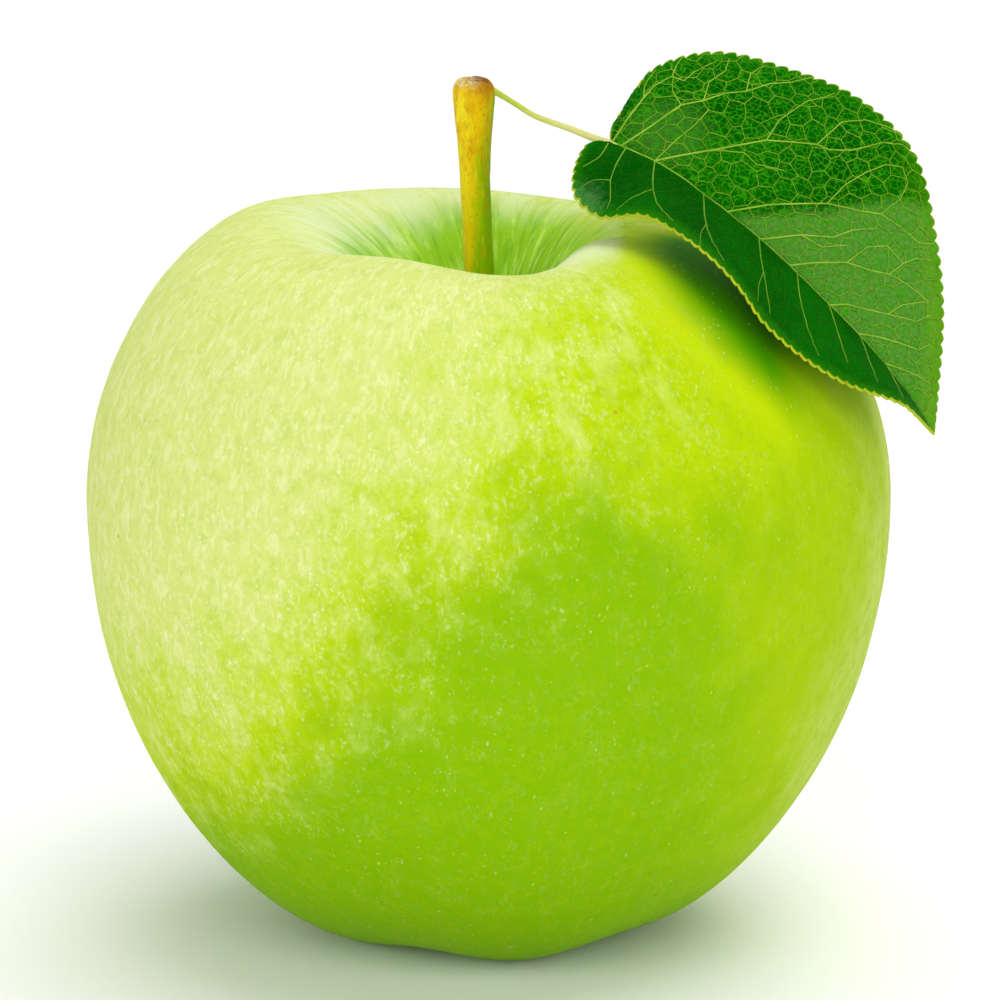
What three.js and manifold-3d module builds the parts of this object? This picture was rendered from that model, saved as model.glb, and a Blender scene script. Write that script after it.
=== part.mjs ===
// A green apple with its woody stem and one leaf, as picked: fruit, stem, leaf stalk, leaf blade and calyx.
// Millimetres, +Z up. The leaf hangs over the +X shoulder and leans out to -Y.
// The origin is on the surface that the apple rests on, under the middle of fruit and leaf together.

import * as THREE from 'three';
import { mergeVertices } from 'three/addons/utils/BufferGeometryUtils.js';
import Module from 'manifold-3d';

// ---- Driving dimensions --------------------------------------------------------------------------

// Everything below is measured from the fruit's own axis, which stands this far from the origin.
const FRUIT_AXIS_X = -2.8;

// The fruit. It is lopsided: a pair holds the size on its -X side and on its +X side.
const EQUATOR_RADIUS = { left: 40.3, right: 40.6 };
const EQUATOR_HEIGHT = { left: 44.2, right: 44.8 };
const CREST_HEIGHT = { left: 72.8, right: 71.9 };      // the top of the shoulder, round the cavity
const CREST_RADIUS = { left: 23.1, right: 14.1 };
const CREST_FORWARD = 1.9;                             // the crest circle sits this far towards -Y
const CREST_OVAL = { height: 0.25, share: -0.05 };     // twofold: higher and narrower along X
const CREST_THREEFOLD_SHARE = 0.043;                   // threefold, widest at the front
const SHOULDER_TOP_PULL = { left: 0.45, right: 0.575 };    // how long the shoulder stays level
const SHOULDER_SIDE_PULL = { left: 0.56, right: 0.54 };    // how long it stays upright over the equator
const FLANK_SIDE_PULL = { left: 0.633, right: 0.547 };     // the same below the equator
const FLANK_FOOT_PULL = { left: 0.394, right: 0.45 };      // and where it turns in to the foot
const CAVITY_FLOOR_HEIGHT = 55;
const CAVITY_FLOOR_RADIUS = 1.5;
const CAVITY_LIP_SHARE = 0.46;                         // share of the crest's radius that rolls inwards
const FOOT_RADIUS = 11;
const BASIN_HEIGHT = 6;                                // the calyx basin's ceiling over the surface
const BASIN_CEILING_RADIUS = 3;
const BASIN_LIP_SHARE = 0.45;
const LOBES = 5;
const LOBE_AZIMUTH = -1.37;                            // radians from +X; one lobe faces the front
const LOBE_RADIUS_SHARE = 0.003;
const LOBE_CREST_DROP = 0.4;
const LOBE_CREST_SHARE = 0.055;
const LOBE_FOOT_RISE = 1.0;                            // the foot between two lobes stands off this much
const FLAT_DEPTH = 0.35;                               // and each lobe is flattened this deep

// The stem: the points of its centreline, and [distance along it, radius].
const STEM_LINE = [[-0.3, 0, 56.4], [-0.8, 0, 67.7], [-1.2, 0, 76.8], [-1.4, 0, 87.15]];
const STEM_PROFILE = [
  [0, 0], [0, 0.55], [1.1, 1.2], [2.4, 1.58], [6, 1.5], [11, 1.48], [17, 1.44], [21, 1.48], [24.5, 1.63],
  [27.2, 1.86], [29.2, 2.04], [30.05, 2.1], [30.5, 1.97], [30.75, 1.6], [30.55, 1.1], [30.4, 0],
];
const STEM_RIDGES = 5;
const STEM_RIDGE_SHARE = 0.035;

// The leaf's stalk, from the side of the stem's head to the blade.
const STALK_LINE = [[1.1, 0, 85.5], [2.8, -0.3, 84.5], [4.7, -0.8, 83.4], [8.4, -1.8, 82.2], [10.4, -2.4, 81.5]];
const STALK_RADIUS = { start: 0.27, end: 0.36 };

// The blade: its midrib, and its margin on the far (+Y) side and on the near (-Y) side, base to tip.
const MIDRIB_LINE = [
  [12.3, -3.0, 81.1], [16.9, -4.5, 79.3], [21.4, -6.0, 76.4], [27.0, -8.0, 72.2], [33.6, -10.0, 66.2],
  [39.2, -11.5, 60.4], [44.0, -12.5, 53.7],
];
const FAR_MARGIN = [
  [12.3, -3.0, 81.1], [12.4, -2.0, 82.4], [14.1, -0.5, 84.7], [16.5, 2.3, 87.5], [22.8, 4.9, 88.8],
  [29.9, 5.4, 87.1], [37.0, 4.9, 84.2], [42.6, 2.9, 79.0], [44.9, 0.0, 70.3], [45.4, -3.0, 64.1],
  [44.7, -8.0, 57.2], [44.0, -12.5, 53.7],
];
const NEAR_MARGIN = [
  [12.3, -3.0, 81.1], [10.0, -4.0, 81.1], [8.6, -6.5, 79.2], [8.5, -9.0, 77.0], [9.5, -10.0, 75.8],
  [11.1, -10.7, 75.0], [15.2, -12.4, 75.5], [18.4, -14.9, 74.4], [22.0, -17.9, 72.2], [24.6, -19.4, 69.6],
  [26.7, -20.5, 66.7], [30.7, -20.6, 63.1], [34.8, -19.7, 60.4], [38.5, -17.6, 58.6], [40.9, -16.0, 57.3],
  [44.0, -12.5, 53.7],
];
const BLADE_THICKNESS = 0.6;
const BLADE_CROWN_SHARE = 0.05;                        // each half swells this share of its width
const TOOTH_DEPTH = 0.4;                               // the notches between teeth lie this far inside the margin
const TOOTH_LEAN = 0.7;                                // a tooth's point, as a share of its pitch
const TOOTH_PAIRS = 26;                                // pairs of teeth along each margin
const MIDRIB_RADIUS = { start: 0.48, end: 0.22 };
const MIDRIB_BELOW = [-0.15, 0.19, -0.24];             // its centreline runs on the blade's lower face
const MIDRIB_STUB = 1.5;                               // the midrib reaches this far out to the stalk

// The calyx: a dried cup and its withered sepals, in the basin.
const CALYX_CUP_PROFILE = [[3.6, 0], [3.6, 1.0], [4.1, 1.45], [4.8, 1.4], [5.2, 0.9], [5.2, 0]];
const SEPAL_LINE = [[1.05, 4.4], [2.0, 3.3], [2.6, 2.1], [3.5, 1.2]];      // [from the axis, height]
const SEPAL_HALF_WIDTH = 0.95;
const SEPAL_THICKNESS = 0.6;

// How finely the surfaces are faceted.
const FRUIT_SLICES = 60;
const FRUIT_STEPS = { basin: 7, flank: 13, shoulder: 11, cavity: 9 };
const FOOT_CROWDING = 1.4;                             // over 1 draws the rings together at the foot
const STEM_SIDES = 15;
const STALK_SIDES = 8;
const STALK_STEPS = 12;
const MIDRIB_STEPS = 22;
const BLADE_ROWS = [0, 0.36, 0.72];                    // shares of the way from the midrib to the margin
const CUP_SIDES = 15;
const SEPAL_STEPS = 5;

// ---- Shared geometry -------------------------------------------------------------------------------

const wasm = await Module();
wasm.setup();

const mix = (from, to, share) => from + (to - from) * share;
const vectors = (list) => list.map((place) => new THREE.Vector3(...place));
const smoothLine = (list) => new THREE.CatmullRomCurve3(vectors(list), false, 'centripetal');

function indexed(points, triangles) {
  const geometry = new THREE.BufferGeometry().setFromPoints(points);
  geometry.setIndex(triangles);
  geometry.computeVertexNormals();
  return geometry;
}

// A closed skin over a stack of rings that run anticlockwise about the way the stack goes.
function skinOverRings(startPoint, rings, endPoint) {
  const sides = rings[0].length;
  const at = (ring, side) => 1 + ring * sides + (side % sides);
  const end = 1 + rings.length * sides;
  const triangles = [];
  for (let side = 0; side < sides; side += 1) {
    triangles.push(0, at(0, side + 1), at(0, side));
    for (let ring = 0; ring < rings.length - 1; ring += 1) {
      triangles.push(at(ring, side), at(ring, side + 1), at(ring + 1, side + 1));
      triangles.push(at(ring, side), at(ring + 1, side + 1), at(ring + 1, side));
    }
    triangles.push(end, at(rings.length - 1, side), at(rings.length - 1, side + 1));
  }
  return indexed([startPoint, ...rings.flat(), endPoint], triangles);
}

// A solid round a centreline that never runs along Y. The profile lists [distance along, radius] and
// starts and ends on the line; swell(angle) scales the radius round the line.
function rod(line, profile, sides, swell = () => 1) {
  const length = line.getLength();
  const place = (distance) => line.getPointAt(THREE.MathUtils.clamp(distance / length, 0, 1));
  const rings = profile.slice(1, -1).map(([distance, radius]) => {
    const along = line.getTangentAt(THREE.MathUtils.clamp(distance / length, 0, 1));
    const across = new THREE.Vector3(0, 1, 0).projectOnPlane(along).normalize();
    const third = new THREE.Vector3().crossVectors(along, across);
    return Array.from({ length: sides }, (_, side) => {
      const angle = (2 * Math.PI * side) / sides;
      const reach = radius * swell(angle);
      return place(distance).addScaledVector(across, reach * Math.cos(angle))
        .addScaledVector(third, reach * Math.sin(angle));
    });
  });
  return skinOverRings(place(profile[0][0]), rings, place(profile.at(-1)[0]));
}

// A sheet made solid: half its thickness is laid on each face, along the sheet's own normals.
function thicken(points, triangles, thickness) {
  const sheet = mergeVertices(new THREE.BufferGeometry().setFromPoints(points).setIndex(triangles), 1e-4);
  const index = Array.from(sheet.index.array);
  const faces = [];
  for (let start = 0; start < index.length; start += 3) {
    const face = index.slice(start, start + 3);
    if (new Set(face).size === 3) faces.push(face);
  }
  sheet.setIndex(faces.flat());
  sheet.computeVertexNormals();
  const { position, normal } = sheet.attributes;
  const layer = (offset) => Array.from({ length: position.count }, (_, vertex) => (
    new THREE.Vector3().fromBufferAttribute(position, vertex)
      .addScaledVector(new THREE.Vector3().fromBufferAttribute(normal, vertex), offset)
  ));
  const edges = new Set(faces.flatMap(([a, b, c]) => [`${a},${b}`, `${b},${c}`, `${c},${a}`]));
  const below = position.count;
  const solid = [];
  for (const [a, b, c] of faces) {
    solid.push(a, b, c, below + a, below + c, below + b);
    for (const [from, to] of [[a, b], [b, c], [c, a]]) {
      if (!edges.has(`${to},${from}`)) {
        solid.push(from, below + from, below + to, from, below + to, to);
      }
    }
  }
  return indexed([...layer(thickness / 2), ...layer(-thickness / 2)], solid);
}

function fuse(geometries) {
  const solids = geometries.map((geometry) => new wasm.Manifold(new wasm.Mesh({
    numProp: 3,
    vertProperties: Float32Array.from(geometry.attributes.position.array),
    triVerts: Uint32Array.from(geometry.index.array),
  })));
  const whole = solids.reduce((joined, solid) => joined.add(solid)).getMesh();
  const geometry = new THREE.BufferGeometry();
  geometry.setAttribute('position', new THREE.Float32BufferAttribute(whole.vertProperties, 3));
  geometry.setIndex(Array.from(whole.triVerts));
  geometry.computeVertexNormals();
  return geometry;
}

// ---- Fruit: rings of a meridian whose sizes change round the axis ------------------------------------

function meridian(azimuth) {
  const side = 0.5 + 0.5 * Math.cos(azimuth);
  const sized = (pair) => mix(pair.left, pair.right, side);
  const lobe = Math.cos(LOBES * (azimuth - LOBE_AZIMUTH));
  const equator = sized(EQUATOR_RADIUS) * (1 + LOBE_RADIUS_SHARE * lobe);
  const middle = sized(EQUATOR_HEIGHT);
  const twofold = Math.cos(2 * azimuth);
  const threefold = Math.sin(3 * azimuth);
  const top = sized(CREST_HEIGHT) + CREST_OVAL.height * twofold - LOBE_CREST_DROP * lobe;
  const wander = CREST_OVAL.share * twofold + CREST_THREEFOLD_SHARE * threefold + LOBE_CREST_SHARE * lobe;
  const crest = (sized(CREST_RADIUS) - CREST_FORWARD * Math.sin(azimuth)) * (1 + wander);
  const foot = (LOBE_FOOT_RISE * (1 - lobe)) / 2 - FLAT_DEPTH;
  const curve = (...corners) => new THREE.CubicBezierCurve(...corners.map((c) => new THREE.Vector2(...c)));
  return {
    basin: curve(
      [0, BASIN_HEIGHT], [BASIN_CEILING_RADIUS, BASIN_HEIGHT],
      [FOOT_RADIUS * (1 - BASIN_LIP_SHARE), foot], [FOOT_RADIUS, foot],
    ),
    flank: curve(
      [FOOT_RADIUS, foot], [mix(FOOT_RADIUS, equator, sized(FLANK_FOOT_PULL)), foot],
      [equator, middle * (1 - sized(FLANK_SIDE_PULL))], [equator, middle],
    ),
    shoulder: curve(
      [equator, middle], [equator, mix(middle, top, sized(SHOULDER_SIDE_PULL))],
      [mix(crest, equator, sized(SHOULDER_TOP_PULL)), top], [crest, top],
    ),
    cavity: curve(
      [crest, top], [crest * (1 - CAVITY_LIP_SHARE), top],
      [CAVITY_FLOOR_RADIUS, CAVITY_FLOOR_HEIGHT], [0, CAVITY_FLOOR_HEIGHT],
    ),
  };
}

function fruitGeometry() {
  const meridians = Array.from({ length: FRUIT_SLICES }, (_, slice) => {
    const azimuth = LOBE_AZIMUTH + (2 * Math.PI * slice) / FRUIT_SLICES;
    return { azimuth, curves: meridian(azimuth) };
  });
  const shareAlong = {
    basin: (share) => 1 - (1 - share) ** FOOT_CROWDING,
    flank: (share) => share ** FOOT_CROWDING,
    shoulder: (share) => share,
    cavity: (share) => share,
  };
  const rings = [];
  for (const [stretch, steps] of Object.entries(FRUIT_STEPS)) {
    const last = stretch === 'cavity' ? steps - 1 : steps;
    for (let step = 1; step <= last; step += 1) {
      rings.push(meridians.map(({ azimuth, curves }) => {
        const { x: radius, y: height } = curves[stretch].getPoint(shareAlong[stretch](step / steps));
        return new THREE.Vector3(radius * Math.cos(azimuth), radius * Math.sin(azimuth), Math.max(height, 0));
      }));
    }
  }
  return skinOverRings(
    new THREE.Vector3(0, 0, BASIN_HEIGHT), rings, new THREE.Vector3(0, 0, CAVITY_FLOOR_HEIGHT),
  );
}

// ---- Stem and leaf stalk ---------------------------------------------------------------------------

const stemGeometry = () => rod(
  smoothLine(STEM_LINE), STEM_PROFILE, STEM_SIDES,
  (angle) => 1 + STEM_RIDGE_SHARE * Math.cos(STEM_RIDGES * angle),
);

// A rod of even taper with flat ends.
function taperedRod(line, radius, steps, sides) {
  const length = line.getLength();
  const rings = Array.from({ length: steps + 1 }, (_, step) => (
    [(length * step) / steps, mix(radius.start, radius.end, step / steps)]
  ));
  return rod(line, [[0, 0], ...rings, [length, 0]], sides);
}

const stalkGeometry = () => taperedRod(smoothLine(STALK_LINE), STALK_RADIUS, STALK_STEPS, STALK_SIDES);

// ---- Leaf blade: two sheets hinged on the midrib, with teeth cut in the margin, over a midrib rod ------

// The columns of the sheet start together at the blade's base, where the margin springs from the midrib.
const BASE_FAN = 0.08;
const midribShare = (marginShare) => Math.max(0, (marginShare - BASE_FAN) / (1 - BASE_FAN)) ** 1.3;

// Teeth die out at the blade's base and tip.
const toothFade = (marginShare) => Math.min(1, 12 * marginShare, 12 * (1 - marginShare));

function halfBlade(midrib, margin, turn, points, triangles) {
  const place = (marginShare, across, notch = TOOTH_DEPTH) => {
    const root = midrib.getPointAt(midribShare(marginShare));
    const width = margin.getPointAt(marginShare).sub(root);
    width.setLength(Math.max(width.length() - notch * toothFade(marginShare), 0));
    const up = midrib.getTangentAt(midribShare(marginShare)).cross(width).multiplyScalar(turn).normalize();
    const crown = BLADE_CROWN_SHARE * width.length() * Math.sin(Math.PI * across);
    return root.addScaledVector(width, across).addScaledVector(up, crown);
  };
  const tooth = (marginShare) => place(marginShare, 1, 0);
  const add = (point) => points.push(point) - 1;
  const face = (a, b, c) => triangles.push(...(turn > 0 ? [a, b, c] : [a, c, b]));

  const columns = Array.from({ length: TOOTH_PAIRS + 1 }, (_, column) => (
    BLADE_ROWS.map((across) => add(place(column / TOOTH_PAIRS, across)))
  ));
  const inner = BLADE_ROWS.length - 1;
  const pitch = 1 / (2 * TOOTH_PAIRS);
  for (let column = 0; column < TOOTH_PAIRS; column += 1) {
    const [here, next] = [columns[column], columns[column + 1]];
    for (let row = 0; row < inner; row += 1) {
      face(here[row], next[row], next[row + 1]);
      face(here[row], next[row + 1], here[row + 1]);
    }
    const first = column / TOOTH_PAIRS;
    const edge = [
      add(place(first, 1)), add(tooth(first + TOOTH_LEAN * pitch)), add(place(first + pitch, 1)),
      add(tooth(first + (1 + TOOTH_LEAN) * pitch)), add(place(Math.min(first + 2 * pitch, 1), 1)),
    ];
    face(here[inner], edge[1], edge[0]);
    face(here[inner], edge[2], edge[1]);
    face(here[inner], next[inner], edge[2]);
    face(next[inner], edge[3], edge[2]);
    face(next[inner], edge[4], edge[3]);
  }
}

function bladeGeometry() {
  const midrib = smoothLine(MIDRIB_LINE);
  const points = [];
  const triangles = [];
  halfBlade(midrib, smoothLine(FAR_MARGIN), 1, points, triangles);
  halfBlade(midrib, smoothLine(NEAR_MARGIN), -1, points, triangles);

  const [base, stalkEnd] = [vectors(MIDRIB_LINE)[0], vectors(STALK_LINE).at(-1)];
  const stub = base.clone().addScaledVector(stalkEnd.sub(base).normalize(), MIDRIB_STUB);
  const ribLine = smoothLine([stub.toArray(), ...MIDRIB_LINE.slice(0, -1)]);
  const rib = taperedRod(ribLine, MIDRIB_RADIUS, MIDRIB_STEPS, STALK_SIDES);
  rib.translate(...MIDRIB_BELOW);
  return fuse([thicken(points, triangles, BLADE_THICKNESS), rib]);
}

// ---- Calyx: a cup turned about the axis, and five sepals curling out of it -----------------------------

function sepalGeometry(azimuth) {
  const line = new THREE.SplineCurve(SEPAL_LINE.map(([radius, height]) => new THREE.Vector2(radius, height)));
  const points = [];
  const triangles = [];
  for (let step = 0; step <= SEPAL_STEPS; step += 1) {
    const share = step / SEPAL_STEPS;
    const { x: radius, y: height } = line.getPoint(share);
    const width = SEPAL_HALF_WIDTH * (1 - share * share);
    for (const across of [-1, 0, 1]) {
      const point = new THREE.Vector3(radius - 0.3 * Math.abs(across) * width, across * width, height);
      points.push(point.applyAxisAngle(new THREE.Vector3(0, 0, 1), azimuth));
    }
    if (step > 0) {
      const [before, now] = [3 * (step - 1), 3 * step];
      for (const across of [0, 1]) {
        triangles.push(before + across, before + across + 1, now + across + 1);
        triangles.push(before + across, now + across + 1, now + across);
      }
    }
  }
  return thicken(points, triangles, SEPAL_THICKNESS);
}

function calyxGeometry() {
  const cupRings = CALYX_CUP_PROFILE.slice(1, -1).map(([height, radius]) => (
    Array.from({ length: CUP_SIDES }, (_, side) => {
      const angle = (2 * Math.PI * side) / CUP_SIDES;
      return new THREE.Vector3(radius * Math.cos(angle), radius * Math.sin(angle), height);
    })
  ));
  const [low, high] = [CALYX_CUP_PROFILE[0][0], CALYX_CUP_PROFILE.at(-1)[0]];
  const cup = skinOverRings(new THREE.Vector3(0, 0, low), cupRings, new THREE.Vector3(0, 0, high));
  const sepals = Array.from({ length: LOBES }, (_, lobe) => (
    sepalGeometry(LOBE_AZIMUTH + (2 * Math.PI * (lobe + 0.5)) / LOBES)
  ));
  return fuse([cup, ...sepals]);
}

// ---- The apple --------------------------------------------------------------------------------------

const PIECES = {
  fruit: [fruitGeometry, { color: 0xa6cf2e, roughness: 0.42, metalness: 0 }],
  stem: [stemGeometry, { color: 0xb59a2c, roughness: 0.7, metalness: 0 }],
  leaf_stalk: [stalkGeometry, { color: 0xc9cd6b, roughness: 0.6, metalness: 0 }],
  leaf_blade: [bladeGeometry, { color: 0x1d6b12, roughness: 0.45, metalness: 0 }],
  calyx: [calyxGeometry, { color: 0x5e4a2e, roughness: 0.9, metalness: 0 }],
};

const onItsAxis = new THREE.Group();
onItsAxis.position.x = FRUIT_AXIS_X;
for (const [name, [geometry, finish]] of Object.entries(PIECES)) {
  const mesh = new THREE.Mesh(geometry(), new THREE.MeshStandardMaterial(finish));
  mesh.name = name;
  onItsAxis.add(mesh);
}

const apple = new THREE.Group();
apple.add(onItsAxis);

export default apple;
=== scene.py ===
import math

import bpy
import numpy as np
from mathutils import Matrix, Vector


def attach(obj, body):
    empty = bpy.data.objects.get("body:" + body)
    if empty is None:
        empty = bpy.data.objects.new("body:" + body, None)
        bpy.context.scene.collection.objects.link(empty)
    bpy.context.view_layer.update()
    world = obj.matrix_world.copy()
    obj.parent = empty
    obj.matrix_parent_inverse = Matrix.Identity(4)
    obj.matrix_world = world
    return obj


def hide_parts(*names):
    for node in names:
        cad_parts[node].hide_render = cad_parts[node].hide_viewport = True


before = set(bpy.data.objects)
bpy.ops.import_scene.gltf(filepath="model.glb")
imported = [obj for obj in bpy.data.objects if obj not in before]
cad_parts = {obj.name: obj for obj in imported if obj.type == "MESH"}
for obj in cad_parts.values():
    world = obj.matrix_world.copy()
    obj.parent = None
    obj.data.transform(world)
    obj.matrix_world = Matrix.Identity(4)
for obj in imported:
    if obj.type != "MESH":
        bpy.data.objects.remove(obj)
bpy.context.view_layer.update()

# ---- The fruit ---------------------------------------------------------------------------------------
# The apple itself, skin and flesh in one body: a lopsided round with the stalk's cavity on top and
# the calyx basin below, standing on five low lobes. Every meridian is four Bezier stretches whose
# sizes change round the axis, so the node tree works the whole surface out from named sizes.

MM = 0.001
AXIS_X = -2.8                       # the fruit's axis stands this far from the origin
FRUIT_SIZES = {                     # millimetres; a pair is the size on the -X and on the +X side
    "equator radius": (40.3, 40.6),
    "equator height": (44.2, 44.8),
    "crest height": (72.8, 71.9),
    "crest radius": (23.1, 14.1),
    "shoulder top pull": (0.45, 0.575),
    "shoulder side pull": (0.56, 0.54),
    "flank side pull": (0.633, 0.547),
    "flank foot pull": (0.394, 0.45),
    "crest forward": 1.9,
    "crest oval height": 0.25,
    "crest oval share": -0.05,
    "crest threefold share": 0.043,
    "cavity floor height": 55.0,
    "cavity floor radius": 1.5,
    "cavity lip share": 0.46,
    "foot radius": 11.0,
    "basin height": 6.0,
    "basin ceiling radius": 3.0,
    "basin lip share": 0.45,
    "lobe azimuth": -1.37,
    "lobe radius share": 0.003,
    "lobe crest drop": 0.4,
    "lobe crest share": 0.055,
    "lobe foot rise": 1.0,
    "flat depth": 0.35,
    "hollows depth": 0.22,
    "meridians": 264,
    "rings": 176,
}
LOBES = 5


class Field:
    """A number or a vector that a node tree works out. A sum written with it becomes nodes."""

    def __init__(self, socket):
        self.socket = socket
        self.tree = socket.id_data

    def axes(self):
        """The three numbers of a vector."""
        node = self.tree.nodes.new("ShaderNodeSeparateXYZ")
        put(self, node.inputs[0])
        return [Field(out) for out in node.outputs]


for sign, operation in (("add", "ADD"), ("sub", "SUBTRACT"), ("mul", "MULTIPLY"), ("truediv", "DIVIDE")):
    setattr(Field, f"__{sign}__", lambda self, other, kind=operation: calc(kind, self, other))
    setattr(Field, f"__r{sign}__", lambda self, other, kind=operation: calc(kind, other, self))


def put(value, socket):
    """Feeds a field or a plain value into a socket."""
    if isinstance(value, Field):
        value.tree.links.new(value.socket, socket)
    elif socket.type == "VECTOR" and not hasattr(value, "__len__"):
        socket.default_value = (value, value, value)
    else:
        socket.default_value = value


def calc(operation, *values):
    """One Math node, or one Vector Math node where a value is a vector."""
    fields = [value for value in values if isinstance(value, Field)]
    spatial = any(isinstance(value, tuple) for value in values) or any(
        field.socket.type in ("VECTOR", "RGBA") for field in fields
    )
    node = fields[0].tree.nodes.new("ShaderNodeVectorMath" if spatial else "ShaderNodeMath")
    node.operation = operation
    for value, socket in zip(values, node.inputs):
        put(value, socket)
    return Field(next(out for out in node.outputs if out.enabled))


def node(tree, kind, inputs=None, out=0, **settings):
    """Adds a node with its settings and inputs, and gives the field of one of its outputs."""
    made = tree.nodes.new(kind)
    for name, value in settings.items():
        setattr(made, name, value)
    for name, value in (inputs or {}).items():
        put(value, next(socket for socket in made.inputs if socket.enabled and socket.name == name))
    outs = [socket for socket in made.outputs if socket.enabled]
    return Field(outs[out] if isinstance(out, int) else next(s for s in outs if s.name == out))


def triple(x, y, z):
    """A vector from three numbers."""
    tree = next(value.tree for value in (x, y, z) if isinstance(value, Field))
    return node(tree, "ShaderNodeCombineXYZ", {"X": x, "Y": y, "Z": z})


def between(low, high, share):
    return low + (high - low) * share


def step(value, start, end, low=0.0, high=1.0):
    """Rises smoothly from low to high while the value goes from start to end."""
    return node(value.tree, "ShaderNodeMapRange", {
        "Value": value, "From Min": start, "From Max": end, "To Min": low, "To Max": high,
    }, interpolation_type="SMOOTHSTEP")


def noise(place, scale, detail=2.0, roughness=0.5, distortion=0.0, out=0):
    return node(place.tree, "ShaderNodeTexNoise", {
        "Vector": place, "Scale": scale, "Detail": detail, "Roughness": roughness, "Distortion": distortion,
    }, out=out)


def here(tree):
    """Where each corner of a mesh, or each point of a curve, lies."""
    return node(tree, "GeometryNodeInputPosition")


def facing(tree):
    """Which way the surface faces at each corner."""
    return node(tree, "GeometryNodeInputNormal")


def moved(shape, **where):
    """The shape with its points set to a Position or pushed by an Offset."""
    return node(shape.tree, "GeometryNodeSetPosition", {"Geometry": shape, **where})


def welded(shape, distance):
    """The shape with its corners merged that lie closer than this many millimetres."""
    return node(shape.tree, "GeometryNodeMergeByDistance", {"Geometry": shape, "Distance": distance * MM})


def share_grid(tree, columns, rows):
    """A flat grid, to be rolled up into a body, and how far round and how far up each corner is."""
    grid = node(tree, "GeometryNodeMeshGrid", {
        "Size X": 1.0, "Size Y": 1.0, "Vertices X": columns + 1, "Vertices Y": rows + 1,
    })
    share_round, share_up, _ = (here(tree) + (0.5, 0.5, 0.0)).axes()
    return grid, share_round, share_up


def start_tree(name, sizes):
    """A geometry node tree with a named input for each size, and the fields of those inputs."""
    tree = bpy.data.node_groups.new(name, "GeometryNodeTree")
    kinds = {int: "Int", float: "Float", bpy.types.Object: "Object", bpy.types.Material: "Material"}
    tree.interface.new_socket("Geometry", in_out="INPUT", socket_type="NodeSocketGeometry")
    for size, value in sizes.items():
        tree.interface.new_socket(size, in_out="INPUT", socket_type="NodeSocket" + kinds[type(value)])
    tree.interface.new_socket("Geometry", in_out="OUTPUT", socket_type="NodeSocketGeometry")
    group_input = tree.nodes.new("NodeGroupInput")
    return tree, {socket.name: Field(socket) for socket in group_input.outputs if socket.name}


def end_tree(tree, shape, material):
    real = node(tree, "GeometryNodeRealizeInstances", {"Geometry": shape})
    finished = node(tree, "GeometryNodeSetMaterial", {"Geometry": real, "Material": material})
    tree.links.new(finished.socket, tree.nodes.new("NodeGroupOutput").inputs[0])


def add_object(name, data):
    made = bpy.data.objects.new(name, data)
    bpy.context.scene.collection.objects.link(made)
    return made


def grow(name, tree, sizes, start=None):
    """Runs a tree on a new object and keeps the result as its plain mesh."""
    piece = add_object(name, start or bpy.data.meshes.new(name))
    modifier = piece.modifiers.new(name, "NODES")
    modifier.node_group = tree
    for socket in tree.interface.items_tree:
        if socket.in_out == "INPUT" and socket.name in sizes:
            modifier[socket.identifier] = sizes[socket.name]
    bpy.context.view_layer.update()
    graph = bpy.context.evaluated_depsgraph_get()
    mesh = bpy.data.meshes.new_from_object(
        piece.evaluated_get(graph), preserve_all_data_layers=True, depsgraph=graph,
    )
    bpy.data.objects.remove(piece)
    mesh.name = name
    return add_object(name, mesh)


def keep(piece, slot, *nodes):
    """A finished piece rides on the apple's one body and stands for the CAD nodes named."""
    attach(piece, "root")
    if nodes:
        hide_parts(*nodes)


def start_material(name, **constants):
    """A Principled material, its own constants set on its sockets, and its node tree."""
    material = bpy.data.materials.new(name)
    material.use_nodes = True
    shader = material.node_tree.nodes["Principled BSDF"]
    for socket, value in constants.items():
        shader.inputs[socket.replace("_", " ")].default_value = value
    return material, material.node_tree, shader


def tint(share, under, over):
    """One colour laid over another; the share is a field, a colour may be one."""
    return node(share.tree, "ShaderNodeMix", {"Factor": share, "A": under, "B": over}, data_type="RGBA")


def around_axis(tree):
    """Millimetres from the foot of the fruit's axis, the distance from that axis and the height."""
    place = node(tree, "ShaderNodeTexCoord", out="Object") * (1 / MM) - (AXIS_X, 0.0, 0.0)
    x, y, z = place.axes()
    return place, x, y, z, calc("LENGTH", triple(x, y, 0.0))


def cells(place, scale, feature="F1"):
    """How far it is to the middle of the nearest cell, or to its edge."""
    return node(place.tree, "ShaderNodeTexVoronoi", {
        "Vector": place, "Scale": scale,
    }, out="Distance", feature=feature)


def painted(tree, name, out="Fac"):
    """A number that the mesh carries for its material."""
    return node(tree, "ShaderNodeAttribute", out=out, attribute_name=name)


def finish(shader, colour, relief, depth, roughness=None, strength=1.0):
    """Gives a material its colour, a fine relief so many millimetres deep, and its roughness."""
    bumps = node(relief.tree, "ShaderNodeBump", {
        "Height": relief, "Distance": depth * MM, "Strength": strength,
    })
    put(colour, shader.inputs["Base Color"])
    put(bumps, shader.inputs["Normal"])
    if roughness is not None:
        put(roughness, shader.inputs["Roughness"])


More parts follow.
